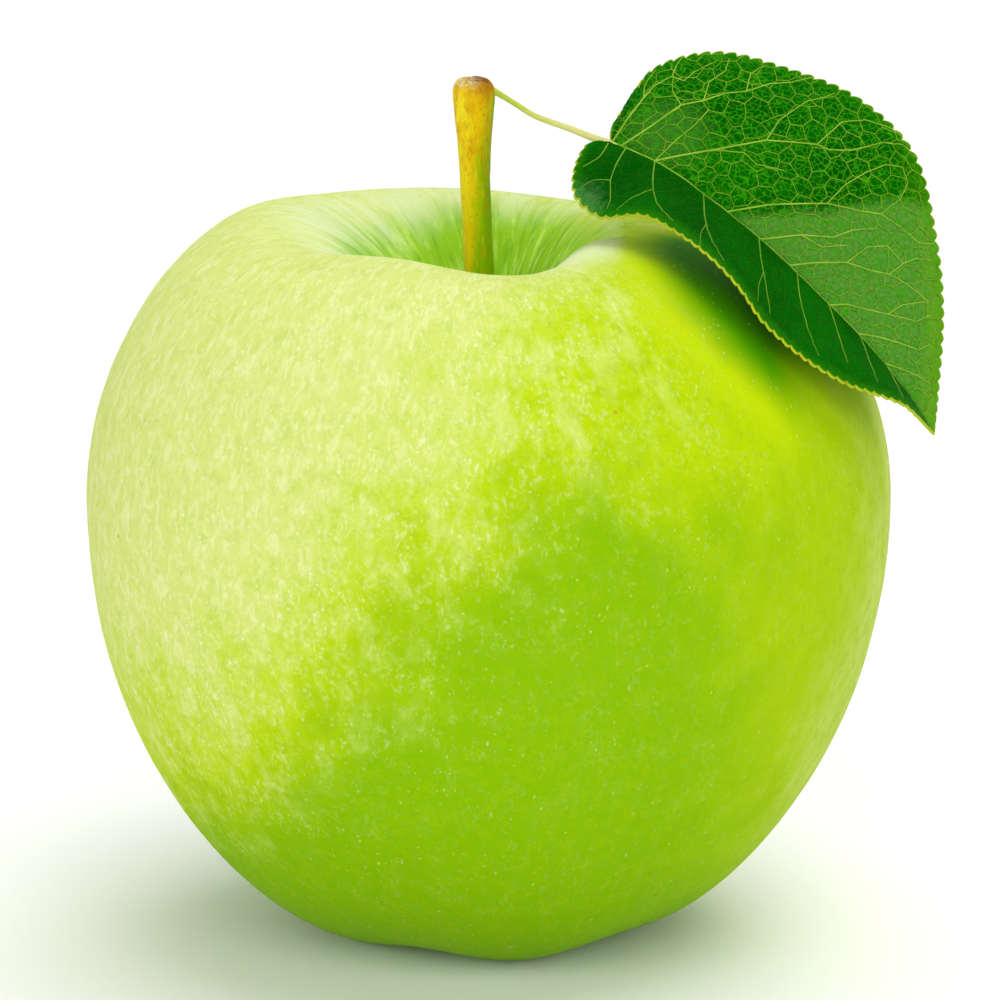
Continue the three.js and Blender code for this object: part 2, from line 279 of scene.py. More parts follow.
LEAF_GREEN_SKIN = (0.215, 0.440, 0.000, 1.0)
YELLOW_SKIN = (0.470, 0.625, 0.002, 1.0)
PALE_SKIN_AND_SHEEN = (0.640, 0.705, 0.235, 1.0)
OLIVE_SKIN = (0.300, 0.470, 0.000, 1.0)
CAVITY_SKIN = (0.270, 0.550, 0.008, 1.0)
CAVITY_STREAK_AND_SHADE = (0.110, 0.350, 0.000, 1.0)
CAVITY_PALE = (0.560, 0.780, 0.120, 1.0)
PAINTED_LEAF_SHADOW = (0.045, 0.260, 0.000, 1.0)
BLOOM_AND_RIM_HIGHLIGHT = (0.670, 0.780, 0.440, 1.0)
FLECK = (0.740, 0.780, 0.400, 1.0)
LENTICEL = (0.600, 0.690, 0.200, 1.0)
RUSSET = (0.360, 0.190, 0.020, 1.0)
SKIN_CENTRE = 40.0


def skin_material():
    skin, tree, shader = start_material(
        "waxy_apple_skin", Specular_IOR_Level=0.0, IOR=1.5,
        Coat_Weight=0.08, Coat_Roughness=0.40, Coat_IOR=1.5,
    )
    place, x, y, z, reach = around_axis(tree)
    outward = triple(x / reach, y / reach, 0.0)
    climb = calc("ARCTAN2", z - SKIN_CENTRE, reach) * SKIN_CENTRE

    def drawn(across, along):
        """Coordinates for a pattern that is drawn out up the meridians."""
        return outward * across + triple(0.0, 0.0, climb * along)

    uneven = (noise(place, 0.055, 3.0, 0.55) - 0.5) * 0.45 + (noise(place, 0.17, 3.0, 0.6) - 0.5) * 0.35
    # The sunny side, high and to -X, is yellower and then paler, partly painted highlight; the shaded front
    # stays green.
    towards = calc("NORMALIZE", place - (0.0, 0.0, SKIN_CENTRE)).axes()
    sunny = towards[2] * 0.68 - towards[0] * 0.70 + uneven - step(towards[1], 0.0, 0.8, 0.0, 0.22)
    flank = step(towards[0] + uneven, 0.40, 0.85, 0.0, 0.55)
    colour = tint(calc("MAXIMUM", step(sunny, -0.10, 0.34), flank), LEAF_GREEN_SKIN, YELLOW_SKIN)
    # The high sunny skin is paler: partly its own tone, partly a painted highlight of the key light.
    high = step(towards[2], -0.35, 0.15, 0.6, 1.0)
    colour = tint(step(sunny, 0.20, 0.60, 0.0, 0.75) * high, colour, PALE_SKIN_AND_SHEEN)
    second = towards[0] * 0.40 - towards[1] * 0.72 + towards[2] * 0.56 + uneven * 0.2
    colour = tint(step(second, 0.90, 0.985, 0.0, 0.75), colour, YELLOW_SKIN)
    patches = noise(drawn(10.0, 0.16), 1.0, 4.0, 0.7)
    colour = tint(step(patches, 0.48, 0.66) * step(sunny, -0.12, 0.30) * 0.5, colour, PALE_SKIN_AND_SHEEN)
    # The far cheek, round the +X side, is paler again, in drifts, partly a painted rim reflection.
    cheek = towards[0] * 0.93 + towards[1] * 0.37 - towards[2] * 0.15 + uneven * 0.8
    colour = tint(step(cheek, 0.52, 0.98) * step(patches, 0.32, 0.62, 0.35, 0.72), colour, PALE_SKIN_AND_SHEEN)
    mottle = noise(place, 0.7, 5.0, 0.7)
    colour = tint(step(mottle, 0.44, 0.68) * step(sunny, 0.05, 0.55, 0.45, 0.22), colour, OLIVE_SKIN)
    # Whitish streaks and short flecks drawn out up the meridians, thick on the sunny side.
    streaks = noise(drawn(27.0, 0.28), 1.0, 3.0, 0.6)
    colour = tint(step(streaks, 0.47, 0.75, 0.0, 0.5) * step(sunny, 0.05, 0.7, 0.06, 1.0), colour, PALE_SKIN_AND_SHEEN)
    flecks = noise(drawn(70.0, 1.1), 1.0, 4.0, 0.72, 0.6)
    swarms = step(noise(place, 0.34, 4.0, 0.7), 0.42, 0.60)
    thick = step(sunny, -0.15, 0.5, 0.10, 1.0)
    colour = tint(step(flecks, 0.50, 0.66) * swarms * thick * 0.75, colour, FLECK)
    veil = noise(drawn(34.0, 0.55), 1.0, 3.0, 0.7, 0.8)
    colour = tint(step(veil, 0.46, 0.66) * step(sunny, 0.15, 0.6) * 0.5, colour, FLECK)
    dots = step(cells(place, 1.15), 0.30, 0.12) * step(mottle, 0.50, 0.60)
    colour = tint(dots * thick * 0.6, colour, FLECK)
    # Painted shadow of the leaf on the skin: a clear yellow-green fringe by its lower edge, then a deep green
    # painted shadow.
    leaf_shadow_depth = (x - 13.5) * 0.707 + (z - 74.0) * 0.707 + uneven * 3.0
    leaf_shadow_bounds = step(x, 33.0, 27.0) * step(y, 2.0, -4.0)
    colour = tint(step(leaf_shadow_depth, -4.2, -1.2) * leaf_shadow_bounds * 0.85, colour, YELLOW_SKIN)
    colour = tint(step(leaf_shadow_depth, -1.6, 2.0) * leaf_shadow_bounds * 0.97, colour, PAINTED_LEAF_SHADOW)
    # The cavity: green, darker streaks partly painted shade, with whitish streaks running out of it over the
    # rim.
    inside = step(z, 73.0, 69.5) * step(reach, 17.5, 13.5)
    colour = tint(inside * 0.95, colour, CAVITY_SKIN)
    down = drawn(7.0, 0.16)
    colour = tint(inside * step(noise(down, 1.0, 4.0, 0.65), 0.46, 0.66, 0.0, 0.70), colour, CAVITY_STREAK_AND_SHADE)
    colour = tint(inside * step(noise(down, 2.2, 4.0, 0.7), 0.47, 0.66, 0.0, 0.72), colour, CAVITY_PALE)
    # The whitish rim is partly the skin's own streaky bloom, partly a painted highlight, solid along the
    # front lip.
    rays = noise(drawn(13.0, 0.10), 1.0, 4.0, 0.7)
    front = step(y / reach, 0.2, -0.9)
    outer = step(reach + front * 2.0 + uneven * 10.0, 24.5, 17.5)
    back = step(y / reach, 0.3, 0.9, 1.0, 0.7)
    rim = outer * back * step(reach, 10.5, 15.5) * step(z, 60.0, 68.0) * step(x, 14.0, 12.0)
    colour = tint(rim * calc("MAXIMUM", step(rays, 0.36, 0.62, 0.20, 0.90), front * 0.85), colour, BLOOM_AND_RIM_HIGHLIGHT)
    # A few russet specks.
    spot = step(cells(place, 0.11), 0.030, 0.012)
    colour = tint(spot * 0.6, colour, RUSSET)
    # The lenticels themselves carry their own share, full at the middle of each.
    colour = tint(painted(tree, "lenticel") * step(patches, 0.38, 0.62, 0.25, 0.70), colour, LENTICEL)
    finish(shader, colour, noise(place, 1.6, 1.0, 0.6), 0.015, step(mottle, 0.3, 0.7, 0.46, 0.56))
    return skin


SKIN = skin_material()


def fruit_tree():
    flat = {}
    for size, value in FRUIT_SIZES.items():
        if isinstance(value, tuple):
            flat[size + " left"], flat[size + " right"] = value
        else:
            flat[size] = value
    flat["material"] = SKIN
    tree, size = start_tree("fruit", flat)
    grid, share_round, share_up = share_grid(tree, size["meridians"], size["rings"])
    azimuth = share_round * (2 * math.pi) + size["lobe azimuth"]
    side = calc("COSINE", azimuth) * 0.5 + 0.5

    def sized(name):
        return between(size[name + " left"], size[name + " right"], side)

    lobe = calc("COSINE", (azimuth - size["lobe azimuth"]) * LOBES)
    twofold = calc("COSINE", azimuth * 2.0)
    threefold = calc("SINE", azimuth * 3.0)
    equator = sized("equator radius") * (lobe * size["lobe radius share"] + 1.0)
    middle = sized("equator height")
    top = sized("crest height") + twofold * size["crest oval height"] - lobe * size["lobe crest drop"]
    wander = (
        twofold * size["crest oval share"] + threefold * size["crest threefold share"]
        + lobe * size["lobe crest share"]
    )
    crest = (sized("crest radius") - calc("SINE", azimuth) * size["crest forward"]) * (wander + 1.0)
    foot = (1.0 - lobe) * size["lobe foot rise"] * 0.5 - size["flat depth"]
    foot_radius = size["foot radius"]
    floor = size["cavity floor height"]
    ceiling = size["basin height"]
    stretches = [
        [(0.0, ceiling), (size["basin ceiling radius"], ceiling),
         (foot_radius * (1.0 - size["basin lip share"]), foot), (foot_radius, foot)],
        [(foot_radius, foot), (between(foot_radius, equator, sized("flank foot pull")), foot),
         (equator, middle * (1.0 - sized("flank side pull"))), (equator, middle)],
        [(equator, middle), (equator, between(middle, top, sized("shoulder side pull"))),
         (between(crest, equator, sized("shoulder top pull")), top), (crest, top)],
        [(crest, top), (crest * (1.0 - size["cavity lip share"]), top),
         (size["cavity floor radius"], floor), (0.0, floor)],
    ]
    stretch = calc("MINIMUM", calc("FLOOR", share_up * 4.0), 3.0)
    share = share_up * 4.0 - stretch
    rest = 1.0 - share
    weights = [
        rest * rest * rest, share * rest * rest * 3.0, share * share * rest * 3.0, share * share * share,
    ]
    point = None
    for corner, weight in enumerate(weights):
        chosen = tree.nodes.new("GeometryNodeIndexSwitch")
        chosen.data_type = "VECTOR"
        while len(chosen.index_switch_items) < len(stretches):
            chosen.index_switch_items.new()
        put(stretch, chosen.inputs["Index"])
        for number, stretch_corners in enumerate(stretches):
            radius, height = stretch_corners[corner]
            put(triple(radius, 0.0, height), chosen.inputs[number + 1])
        pulled = Field(chosen.outputs[0]) * weight
        point = pulled if point is None else point + pulled
    radius, _, height = point.axes()
    on_foot = calc("MAXIMUM", height, 0.0)
    surface = triple(radius * calc("COSINE", azimuth) + AXIS_X, radius * calc("SINE", azimuth), on_foot)
    closed = welded(moved(grid, Position=surface * MM), 0.01)
    # Shallow hollows all over, fading out at the foot.
    place = here(tree) * (1 / MM)
    hollow = step(noise(place, 0.06, 3.0), 0.25, 0.75) * step(place.axes()[2], 2.0, 14.0)
    inward = facing(tree) * (hollow * size["hollows depth"] * -MM)
    end_tree(tree, moved(closed, Offset=inward), size["material"])
    return tree, flat


fruit = grow("fruit_skin", *fruit_tree())
keep(fruit, "skin", "fruit")

# ---- The lenticels -----------------------------------------------------------------------------------
# Corky breathing pores of the skin: pale dots 0.1 to 0.5 mm across, some drawn out up the meridian.
# They are crowded on the sunny shoulder and thin out towards the foot; each is a low lens in the skin.

LENTICEL_SIZES = {
    "fruit": fruit,
    "per square metre": 1500000.0,
    "smallest radius": 0.10,
    "largest radius": 0.30,
    "longest draw": 2.6,
    "height": 0.025,
    "seed": 4,
    "material": SKIN,
}
LENTICEL_SINK = 0.4                 # this share of its height lies in the skin
LENTICEL_SIDES = 9
LENTICEL_LEAN = 0.4                 # how far its long way leans from the meridian


def shape_of(target):
    """The mesh or the curves of an object that the tree is given."""
    return node(target.tree, "GeometryNodeObjectInfo", {"Object": target}, out="Geometry")


def marked(shape, name, value, domain="POINT"):
    """The shape with a number kept on each of its points or faces."""
    return node(shape.tree, "GeometryNodeStoreNamedAttribute", {
        "Geometry": shape, "Name": name, "Value": value,
    }, data_type="FLOAT", domain=domain)


def chance(low, high, seed):
    """A random number for each point, or a random vector between two."""
    return node(seed.tree, "FunctionNodeRandomValue", {
        "Min": low, "Max": high, "Seed": seed,
    }, data_type="FLOAT_VECTOR" if isinstance(low, tuple) else "FLOAT")


def lenticel_tree():
    tree, size = start_tree("lenticels", LENTICEL_SIZES)
    skin = shape_of(size["fruit"])
    place = here(tree) * (1 / MM) - (AXIS_X, 0.0, 0.0)
    x, y, z = place.axes()
    lean = calc("NORMALIZE", place - (0.0, 0.0, SKIN_CENTRE)).axes()
    sunny = step(lean[2] * 0.68 - lean[0] * 0.60, -0.5, 0.5, 0.12, 1.0)
    drifts = step(noise(place, 0.30, 3.0), 0.42, 0.62, 0.05, 1.0)
    clear = step(calc("LENGTH", triple(x, y, 0.0)), 9.0, 20.0) * step(z, 0.5, 4.0)
    points = tree.nodes.new("GeometryNodeDistributePointsOnFaces")
    put(skin, points.inputs["Mesh"])
    put(size["per square metre"] * sunny * drifts * clear, points.inputs["Density"])
    put(size["seed"], points.inputs["Seed"])
    lens = node(tree, "GeometryNodeMeshCone", {
        "Vertices": LENTICEL_SIDES, "Side Segments": 1, "Radius Top": 0.0, "Radius Bottom": 1.0, "Depth": 1.0,
    }, out="Mesh")
    lens = marked(lens, "lenticel", here(tree).axes()[2] * (1.0 + LENTICEL_SINK) - LENTICEL_SINK)
    lens = node(tree, "GeometryNodeTransform", {"Geometry": lens, "Translation": (0.0, 0.0, -LENTICEL_SINK)})
    least = (-LENTICEL_LEAN, -LENTICEL_LEAN, 1.0 - LENTICEL_LEAN)
    most = (LENTICEL_LEAN, LENTICEL_LEAN, 1.0 + LENTICEL_LEAN)
    upward = chance(least, most, size["seed"] + 7)
    turn = node(tree, "FunctionNodeAxesToRotation", {
        "Primary Axis": Field(points.outputs["Normal"]), "Secondary Axis": upward,
    }, primary_axis="Z", secondary_axis="X")
    bold = chance(0.0, 1.0, size["seed"] + 1)
    radius = between(size["smallest radius"], size["largest radius"], bold * bold) * MM
    drawn = chance(0.0, 1.0, size["seed"] + 2)
    draw = between(1.0, size["longest draw"], drawn * drawn * drawn)
    placed = node(tree, "GeometryNodeInstanceOnPoints", {
        "Points": Field(points.outputs["Points"]), "Instance": lens, "Rotation": turn,
        "Scale": triple(radius * draw, radius, size["height"] * MM),
    })
    end_tree(tree, placed, size["material"])
    return tree


lenticels = grow("lenticels", lenticel_tree(), LENTICEL_SIZES)
keep(lenticels, "skin")

# ---- The stem ----------------------------------------------------------------------------------------
# The woody stalk the apple hung by: ribbed bark, ochre above and green below, flared at the head where
# it broke from the spur and left a rough brown crust. It grows out of the floor of the cavity.

STEM_LINE = [(-0.2, 0.0, 54.4), (-0.8, 0.0, 67.7), (-1.2, 0.0, 76.8), (-1.4, 0.0, 87.15)]
STEM_OUTLINE = [                    # how far along the line, and how far from it
    (0.0, 0.0), (0.0, 2.3), (1.2, 1.9), (3.0, 1.66), (8.0, 1.52), (13.0, 1.46), (19.0, 1.46), (23.0, 1.52),
    (26.5, 1.70), (29.2, 1.96), (30.8, 2.10), (31.6, 2.06), (32.2, 1.84), (32.55, 1.50), (32.7, 1.0),
    (32.6, 0.0),
]
STEM_SIZES = {
    "sides": 72, "rows": 300, "ribs": 5.0, "rib share": 0.035, "rib twist": 0.045, "grain height": 0.20,
    "grain across": 1.7, "grain along": 0.42, "broken from": 31.7, "broken height": 0.40,
}


PLACES_PER_STRETCH = 60


def smooth_line(points):
    """Evenly spaced places on a centripetal Catmull-Rom curve through the points."""
    points = np.array(points, float)
    places = [points[:1]]
    for number in range(len(points) - 1):
        start, end = points[number], points[number + 1]
        before = points[number - 1] if number else 2 * start - points[1]
        after = points[number + 2] if number + 2 < len(points) else 2 * end - points[-2]
        ends = ((before, start), (start, end), (end, after))
        gaps = [max(math.sqrt(np.linalg.norm(b - a)), 1e-4) for a, b in ends]
        leave = (start - before) / gaps[0] - (end - before) / (gaps[0] + gaps[1]) + (end - start) / gaps[1]
        arrive = (end - start) / gaps[1] - (after - start) / (gaps[1] + gaps[2]) + (after - end) / gaps[2]
        leave, arrive = leave * gaps[1], arrive * gaps[1]
        share = np.linspace(0, 1, PLACES_PER_STRETCH + 1)[1:, None]
        places.append(
            start + leave * share + (3 * (end - start) - 2 * leave - arrive) * share**2
            + (2 * (start - end) + leave + arrive) * share**3
        )
    places = np.concatenate(places)
    length = np.r_[0, np.cumsum(np.linalg.norm(np.diff(places, axis=0), axis=1))]
    return places, length


def along_line(line, shares):
    places, length = line
    return np.stack([np.interp(shares, length / length[-1], places[:, axis]) for axis in range(3)], -1)


def guide(name, *lines, radii=None):
    """Curves in millimetres that a tree follows; they are thrown away once it has run."""
    curve = bpy.data.curves.new(name, "CURVE")
    curve.dimensions = "3D"
    for number, line in enumerate(lines):
        spline = curve.splines.new("POLY")
        spline.points.add(len(line) - 1)
        for which, place in enumerate(line):
            spline.points[which].co = (*place, 1.0)
            spline.points[which].radius = radii[number][which] if radii else 1.0
    return add_object(name, curve)


def turned(name, line, outline, sizes, material):
    """A body turned on a bent line: the outline gives its radius along the line."""
    path = guide("path", smooth_line([(x + AXIS_X, y, z) for x, y, z in line])[0])
    profile = guide("profile", [(distance, radius, 0.0) for distance, radius in outline])
    sizes = dict(sizes, path=path, profile=profile, material=material)
    if not TURNED_TREES:
        TURNED_TREES.append(turned_tree(sizes))
    made = grow(name, TURNED_TREES[0], sizes)
    bpy.data.objects.remove(path)
    bpy.data.objects.remove(profile)
    return made


TURNED_TREES = []                   # the one tree for every turned body, once the stem has made it


def along_curve(curve, out, **where):
    """What a curve holds at a Factor or a Length of its way."""
    return node(curve.tree, "GeometryNodeSampleCurve", {
        "Curves": curve, **where,
    }, out=out, mode="FACTOR" if "Factor" in where else "LENGTH", use_all_curves=True)


def turned_tree(sizes):
    tree, size = start_tree("turned on a line", sizes)
    grid, share_round, share_up = share_grid(tree, size["sides"], size["rows"])
    line = shape_of(size["path"])
    distance, radius, _ = along_curve(shape_of(size["profile"]), "Position", Factor=share_up).axes()
    centre, ahead = (along_curve(line, out, Length=distance) for out in ("Position", "Tangent"))
    across = calc("NORMALIZE", calc("CROSS_PRODUCT", calc("CROSS_PRODUCT", ahead, (0.0, 1.0, 0.0)), ahead))
    third = calc("CROSS_PRODUCT", ahead, across)
    angle = share_round * (2 * math.pi)
    outward = across * calc("COSINE", angle) + third * calc("SINE", angle)
    ribs = calc("COSINE", angle * size["ribs"] + distance * size["rib twist"])
    grain = outward * size["grain across"] + triple(0.0, 0.0, distance * size["grain along"])
    grain = noise(grain, 1.0, 4.0, 0.6)
    solid = step(radius, 0.0, 0.5)
    reach = radius * (ribs * size["rib share"] + 1.0) + (grain - 0.5) * size["grain height"] * solid
    broken = step(distance, size["broken from"], size["broken from"] + 0.4)
    rough = (noise(outward * radius * 1.3, 1.0, 5.0, 0.7) - 0.62) * broken * size["broken height"]
    place = centre + outward * reach + ahead * rough
    end_tree(tree, welded(moved(grid, Position=place * MM), 0.002), size["material"])
    return tree


OCHRE_BARK = (0.740, 0.520, 0.000, 1.0)
ORANGE_BARK = (0.640, 0.310, 0.002, 1.0)
STRAW_BARK_AND_HIGHLIGHT = (0.860, 0.720, 0.020, 1.0)
GREEN_BARK = (0.260, 0.440, 0.000, 1.0)
RUST = (0.330, 0.120, 0.006, 1.0)
CRUST = (0.130, 0.055, 0.016, 1.0)
GREY_SCAR = (0.720, 0.610, 0.340, 1.0)


def bark_material():
    bark, tree, shader = start_material("ribbed_bark", Specular_IOR_Level=0.05)
    place, x, _, z, _ = around_axis(tree)
    fibres = noise(place * (1.9, 1.9, 0.22), 1.3, 5.0, 0.68)
    clouds = noise(place * (1.0, 1.0, 0.45), 0.45, 3.0)
    greening = (x + 1.1) * 0.50 + (76.0 - z) * 0.050 + (clouds - 0.5) * 1.3 + (fibres - 0.5) * 1.0
    colour = tint(step(greening, -0.25, 0.60), OCHRE_BARK, GREEN_BARK)
    # Pale straw bark high on the -X side: partly the bark's own colour, partly a painted highlight.
    straw_and_highlight = (-0.7 - x) * 0.45 + (z - 84.0) * 0.02 + (fibres - 0.5) * 2.4
    colour = tint(step(straw_and_highlight, 0.0, 1.0, 0.0, 0.8), colour, STRAW_BARK_AND_HIGHLIGHT)
    pale_streaks = noise(place * (2.4, 2.4, 0.3) + (7.0, 3.0, 1.0), 2.0, 3.0, 0.6)
    colour = tint(step(pale_streaks, 0.55, 0.70, 0.0, 0.5), colour, STRAW_BARK_AND_HIGHLIGHT)
    orange = noise(place * (1.1, 1.1, 0.42) + (3.0, 0.0, 5.0), 0.9, 5.0, 0.72)
    colour = tint(step(orange + (z - 78.0) * 0.009, 0.47, 0.68, 0.0, 0.70), colour, ORANGE_BARK)
    rusty = noise(place * (1.5, 1.5, 0.6) + (9.0, 2.0, 5.0), 1.6, 5.0, 0.78)
    colour = tint(step(rusty + (z - 80.0) * 0.006, 0.52, 0.72, 0.0, 0.60), colour, RUST)
    flecks = cells(place * (1.0, 1.0, 0.7), 1.9)
    colour = tint(step(flecks, 0.24, 0.10, 0.0, 0.35), colour, RUST)
    # The flared head: a rusty rim, darker round the back, and a grey bloom over the break.
    edge = z + (noise(place, 1.3, 4.0, 0.7) - 0.5) * 1.8
    colour = tint(step(edge, 85.0, 86.6) * step(x, -2.6, 0.2, 0.15, 0.85), colour, RUST)
    scab = noise(place, 2.2, 4.0, 0.7)
    crusted = step(edge, 86.6, 87.0) * step(scab, 0.36, 0.54, 0.3, 1.0) * step(x, -2.4, -0.8, 0.35, 1.0)
    colour = tint(crusted, colour, CRUST)
    scarred = step(edge, 86.2, 86.8) * step(scab, 0.56, 0.44, 0.1, 0.8) * step(x, -0.2, -2.0)
    colour = tint(scarred, colour, GREY_SCAR)
    furrows = noise(place * (2.6, 2.6, 0.5), 1.6, 5.0, 0.7)
    finish(shader, colour, furrows, 0.16, step(fibres, 0.3, 0.7, 0.50, 0.70), strength=0.9)
    return bark


stem = turned("stem_bark", STEM_LINE, STEM_OUTLINE, STEM_SIZES, bark_material())
keep(stem, "stem", "stem")

# ---- The calyx ---------------------------------------------------------------------------------------
# What is left of the flower, in the basin under the fruit: a dried cup, five withered sepals curling
# out of it and a tuft of dead stamens. All of it is brown, papery and a little downy.

CUP_LINE = [(0.0, 0.0, 3.6), (0.0, 0.0, 4.6), (0.0, 0.0, 6.3)]
CUP_OUTLINE = [
    (0.9, 0.0), (0.6, 0.5), (0.1, 0.95), (0.0, 1.1), (0.12, 1.26), (0.55, 1.44), (1.2, 1.4), (1.9, 1.15),
    (2.6, 0.9), (2.6, 0.0),
]
CUP_SIZES = {
    **STEM_SIZES, "sides": 50, "rows": 60, "ribs": 10.0, "rib share": 0.05, "grain height": 0.12,
    "broken height": 0.0,
}
SEPAL_LINE = [
    (0.95, 0.0, 4.7), (1.5, 0.0, 3.8), (2.2, 0.0, 2.8), (2.9, 0.0, 1.9), (3.7, 0.0, 1.3), (4.3, 0.0, 1.5),
]
SEPAL_SIZES = {
    "sepals": LOBES, "lobe azimuth": FRUIT_SIZES["lobe azimuth"], "half width": 1.0, "curl": 0.4,
    "thickness": 0.16, "crumple": 0.5, "crumples per metre": 620.0, "stamens": 13, "stamen length": 1.7,
    "stamen foot": 4.5, "stamen radius": 0.05, "stamen foot radius": 0.08, "tuft radius": 0.55,
    "knob radius": 0.17, "splay": 900.0, "seed": 3,
}
WITHERED_BROWN = (0.110, 0.060, 0.026, 1.0)
DRY_STRAW = (0.340, 0.245, 0.125, 1.0)


def withered_material():
    withered, tree, shader = start_material(
        "withered_sepal", Roughness=0.85, Sheen_Weight=0.25, Sheen_Roughness=0.6,
    )
    place, *_ = around_axis(tree)
    colour = tint(step(noise(place, 1.1, 4.0, 0.65), 0.35, 0.65), WITHERED_BROWN, DRY_STRAW)
    finish(shader, colour, noise(place, 3.0, 5.0, 0.7), 0.12)
    return withered


def joined(*shapes):
    whole = shapes[0].tree.nodes.new("GeometryNodeJoinGeometry")
    for shape in shapes:
        put(shape, whole.inputs[0])
    return Field(whole.outputs[0])


def extruded(tree, sheet, thickness):
    """The faces of a sheet pushed out along their normals, with side walls round the edge."""
    return node(tree, "GeometryNodeExtrudeMesh", {
        "Mesh": sheet, "Offset": facing(tree), "Offset Scale": thickness, "Individual": False,
    }, mode="FACES")


def flipped(shape):
    return node(shape.tree, "GeometryNodeFlipFaces", {"Mesh": shape})


def sepal_tree(sizes):
    tree, size = start_tree("withered sepals", sizes)
    grid = node(tree, "GeometryNodeMeshGrid", {
        "Size X": 1.0, "Size Y": 2.0, "Vertices X": 20, "Vertices Y": 11,
    })
    share, across, _ = (here(tree) + (0.5, 0.0, 0.0)).axes()
    width = (1.02 - share * share * share) * size["half width"] * (share * 0.9 + 0.7)
    x, _, z = along_curve(shape_of(size["path"]), "Position", Factor=share).axes()
    place = triple(x - across * across * width * size["curl"], across * width, z)
    petal = moved(grid, Position=place * MM)
    ring = node(tree, "GeometryNodeMeshCircle", {"Vertices": size["sepals"], "Radius": 1e-6})
    fifth = 2 * math.pi / LOBES
    turn = node(tree, "GeometryNodeInputIndex") * fifth + (size["lobe azimuth"] + fifth / 2)
    turn = node(tree, "FunctionNodeEulerToRotation", {"Euler": triple(0.0, 0.0, turn)})
    placed = node(tree, "GeometryNodeInstanceOnPoints", {"Points": ring, "Instance": petal, "Rotation": turn})
    real = node(tree, "GeometryNodeRealizeInstances", {"Geometry": placed})
    crumple = noise(here(tree), size["crumples per metre"], out="Color") - (0.5, 0.5, 0.5)
    crumpled = moved(real, Offset=crumple * (size["crumple"] * 2 * MM))
    # Each sepal is thickened by half on either face.
    thickness = size["thickness"] * MM
    lower = moved(crumpled, Offset=facing(tree) * (thickness * -0.5))
    closed = welded(joined(flipped(lower), extruded(tree, lower, thickness)), 0.0005)
    # Dead stamens: a thread with a knob, leaning out of the cup.
    length = size["stamen length"] * MM
    thread = node(tree, "GeometryNodeMeshCone", {
        "Vertices": 5, "Side Segments": 2, "Radius Top": size["stamen radius"] * MM,
        "Radius Bottom": size["stamen foot radius"] * MM, "Depth": length,
    }, out="Mesh")
    knob = node(tree, "GeometryNodeMeshUVSphere", {
        "Segments": 6, "Rings": 4, "Radius": size["knob radius"] * MM,
    })
    knob = node(tree, "GeometryNodeTransform", {
        "Geometry": knob, "Translation": triple(0.0, 0.0, length), "Scale": (1.0, 0.7, 1.5),
    })
    tuft = node(tree, "GeometryNodeMeshCircle", {
        "Vertices": size["stamens"], "Radius": size["tuft radius"] * MM,
    })
    tuft = moved(
        tuft, Position=here(tree) * chance(0.25, 1.1, size["seed"]),
        Offset=triple(0.0, 0.0, size["stamen foot"] * MM),
    )
    outward = here(tree) * triple(size["splay"], size["splay"], 0.0)
    lean = outward + (0.0, 0.0, -1.0) + chance((-0.3,) * 3, (0.3,) * 3, size["seed"])
    stamens = node(tree, "GeometryNodeInstanceOnPoints", {
        "Points": tuft, "Instance": joined(knob, thread),
        "Rotation": node(tree, "FunctionNodeAlignRotationToVector", {"Vector": lean}, axis="Z"),
    })
    on_axis = node(tree, "GeometryNodeTransform", {
        "Geometry": joined(closed, stamens), "Translation": (AXIS_X * MM, 0.0, 0.0),
    })
    end_tree(tree, on_axis, size["material"])
    return tree


WITHERED = withered_material()
cup = turned("calyx_cup", CUP_LINE, CUP_OUTLINE, CUP_SIZES, WITHERED)
keep(cup, "calyx", "calyx")
sepal_path = guide("path", smooth_line(SEPAL_LINE)[0])
SEPAL_SIZES.update(path=sepal_path, material=WITHERED)
sepals = grow("calyx_sepals", sepal_tree(SEPAL_SIZES), SEPAL_SIZES)
bpy.data.objects.remove(sepal_path)
keep(sepals, "calyx")

# ---- The leaf's stalk --------------------------------------------------------------------------------
# A thin fleshy stalk, pale yellow-green, that springs from the side of the stem's head and runs into
# the blade's midrib. It thickens a little at both ends.

STALK_LINE = [
    (0.2, 0.1, 86.0), (1.1, 0.0, 85.5), (2.8, -0.3, 84.5), (4.7, -0.8, 83.4), (8.4, -1.8, 82.2),
    (10.4, -2.4, 81.5), (13.0, -3.2, 80.75),
]
STALK_OUTLINE = [
    (0.0, 0.0), (0.0, 0.36), (0.9, 0.33), (2.0, 0.27), (5.0, 0.28), (9.0, 0.32), (12.0, 0.36), (13.2, 0.38),
    (14.2, 0.26), (14.4, 0.0),
]
STALK_SIZES = {
    **STEM_SIZES, "sides": 24, "rows": 150, "ribs": 3.0, "rib share": 0.06, "grain height": 0.05,
    "broken height": 0.0,
}
STALK_PALE = (0.600, 0.590, 0.200, 1.0)
STALK_GREEN = (0.440, 0.520, 0.040, 1.0)


def stalk_material():
    flesh, tree, shader = start_material(
        "leaf_stalk_flesh", Subsurface_Weight=0.15, Subsurface_Scale=0.0006,
        Sheen_Weight=0.2, Sheen_Roughness=0.5,
    )
    place, x, *_ = around_axis(tree)
    drift = noise(place, 0.9, 3.0)
    colour = tint(step(x + (drift - 0.5) * 6.0, 2.0, 8.0), STALK_GREEN, STALK_PALE)
    streaks = noise(place * (0.35, 2.5, 2.5), 1.6, 3.0)
    colour = tint(step(streaks, 0.5, 0.75, 0.0, 0.4), colour, STALK_GREEN)
    finish(shader, colour, streaks, 0.05, step(drift, 0.3, 0.7, 0.42, 0.55))
    return flesh


STALK_FLESH = stalk_material()
leaf_stalk = turned("leaf_stalk_flesh", STALK_LINE, STALK_OUTLINE, STALK_SIZES, STALK_FLESH)
keep(leaf_stalk, "leaf_stalk", "leaf_stalk")

# ---- The leaf's blade --------------------------------------------------------------------------------
# One grown leaf hanging over the shoulder: two halves folded up from the midrib, each swelling a
# little, with a saw-toothed margin. The green cushions up between the veins, which lie sunk in it.

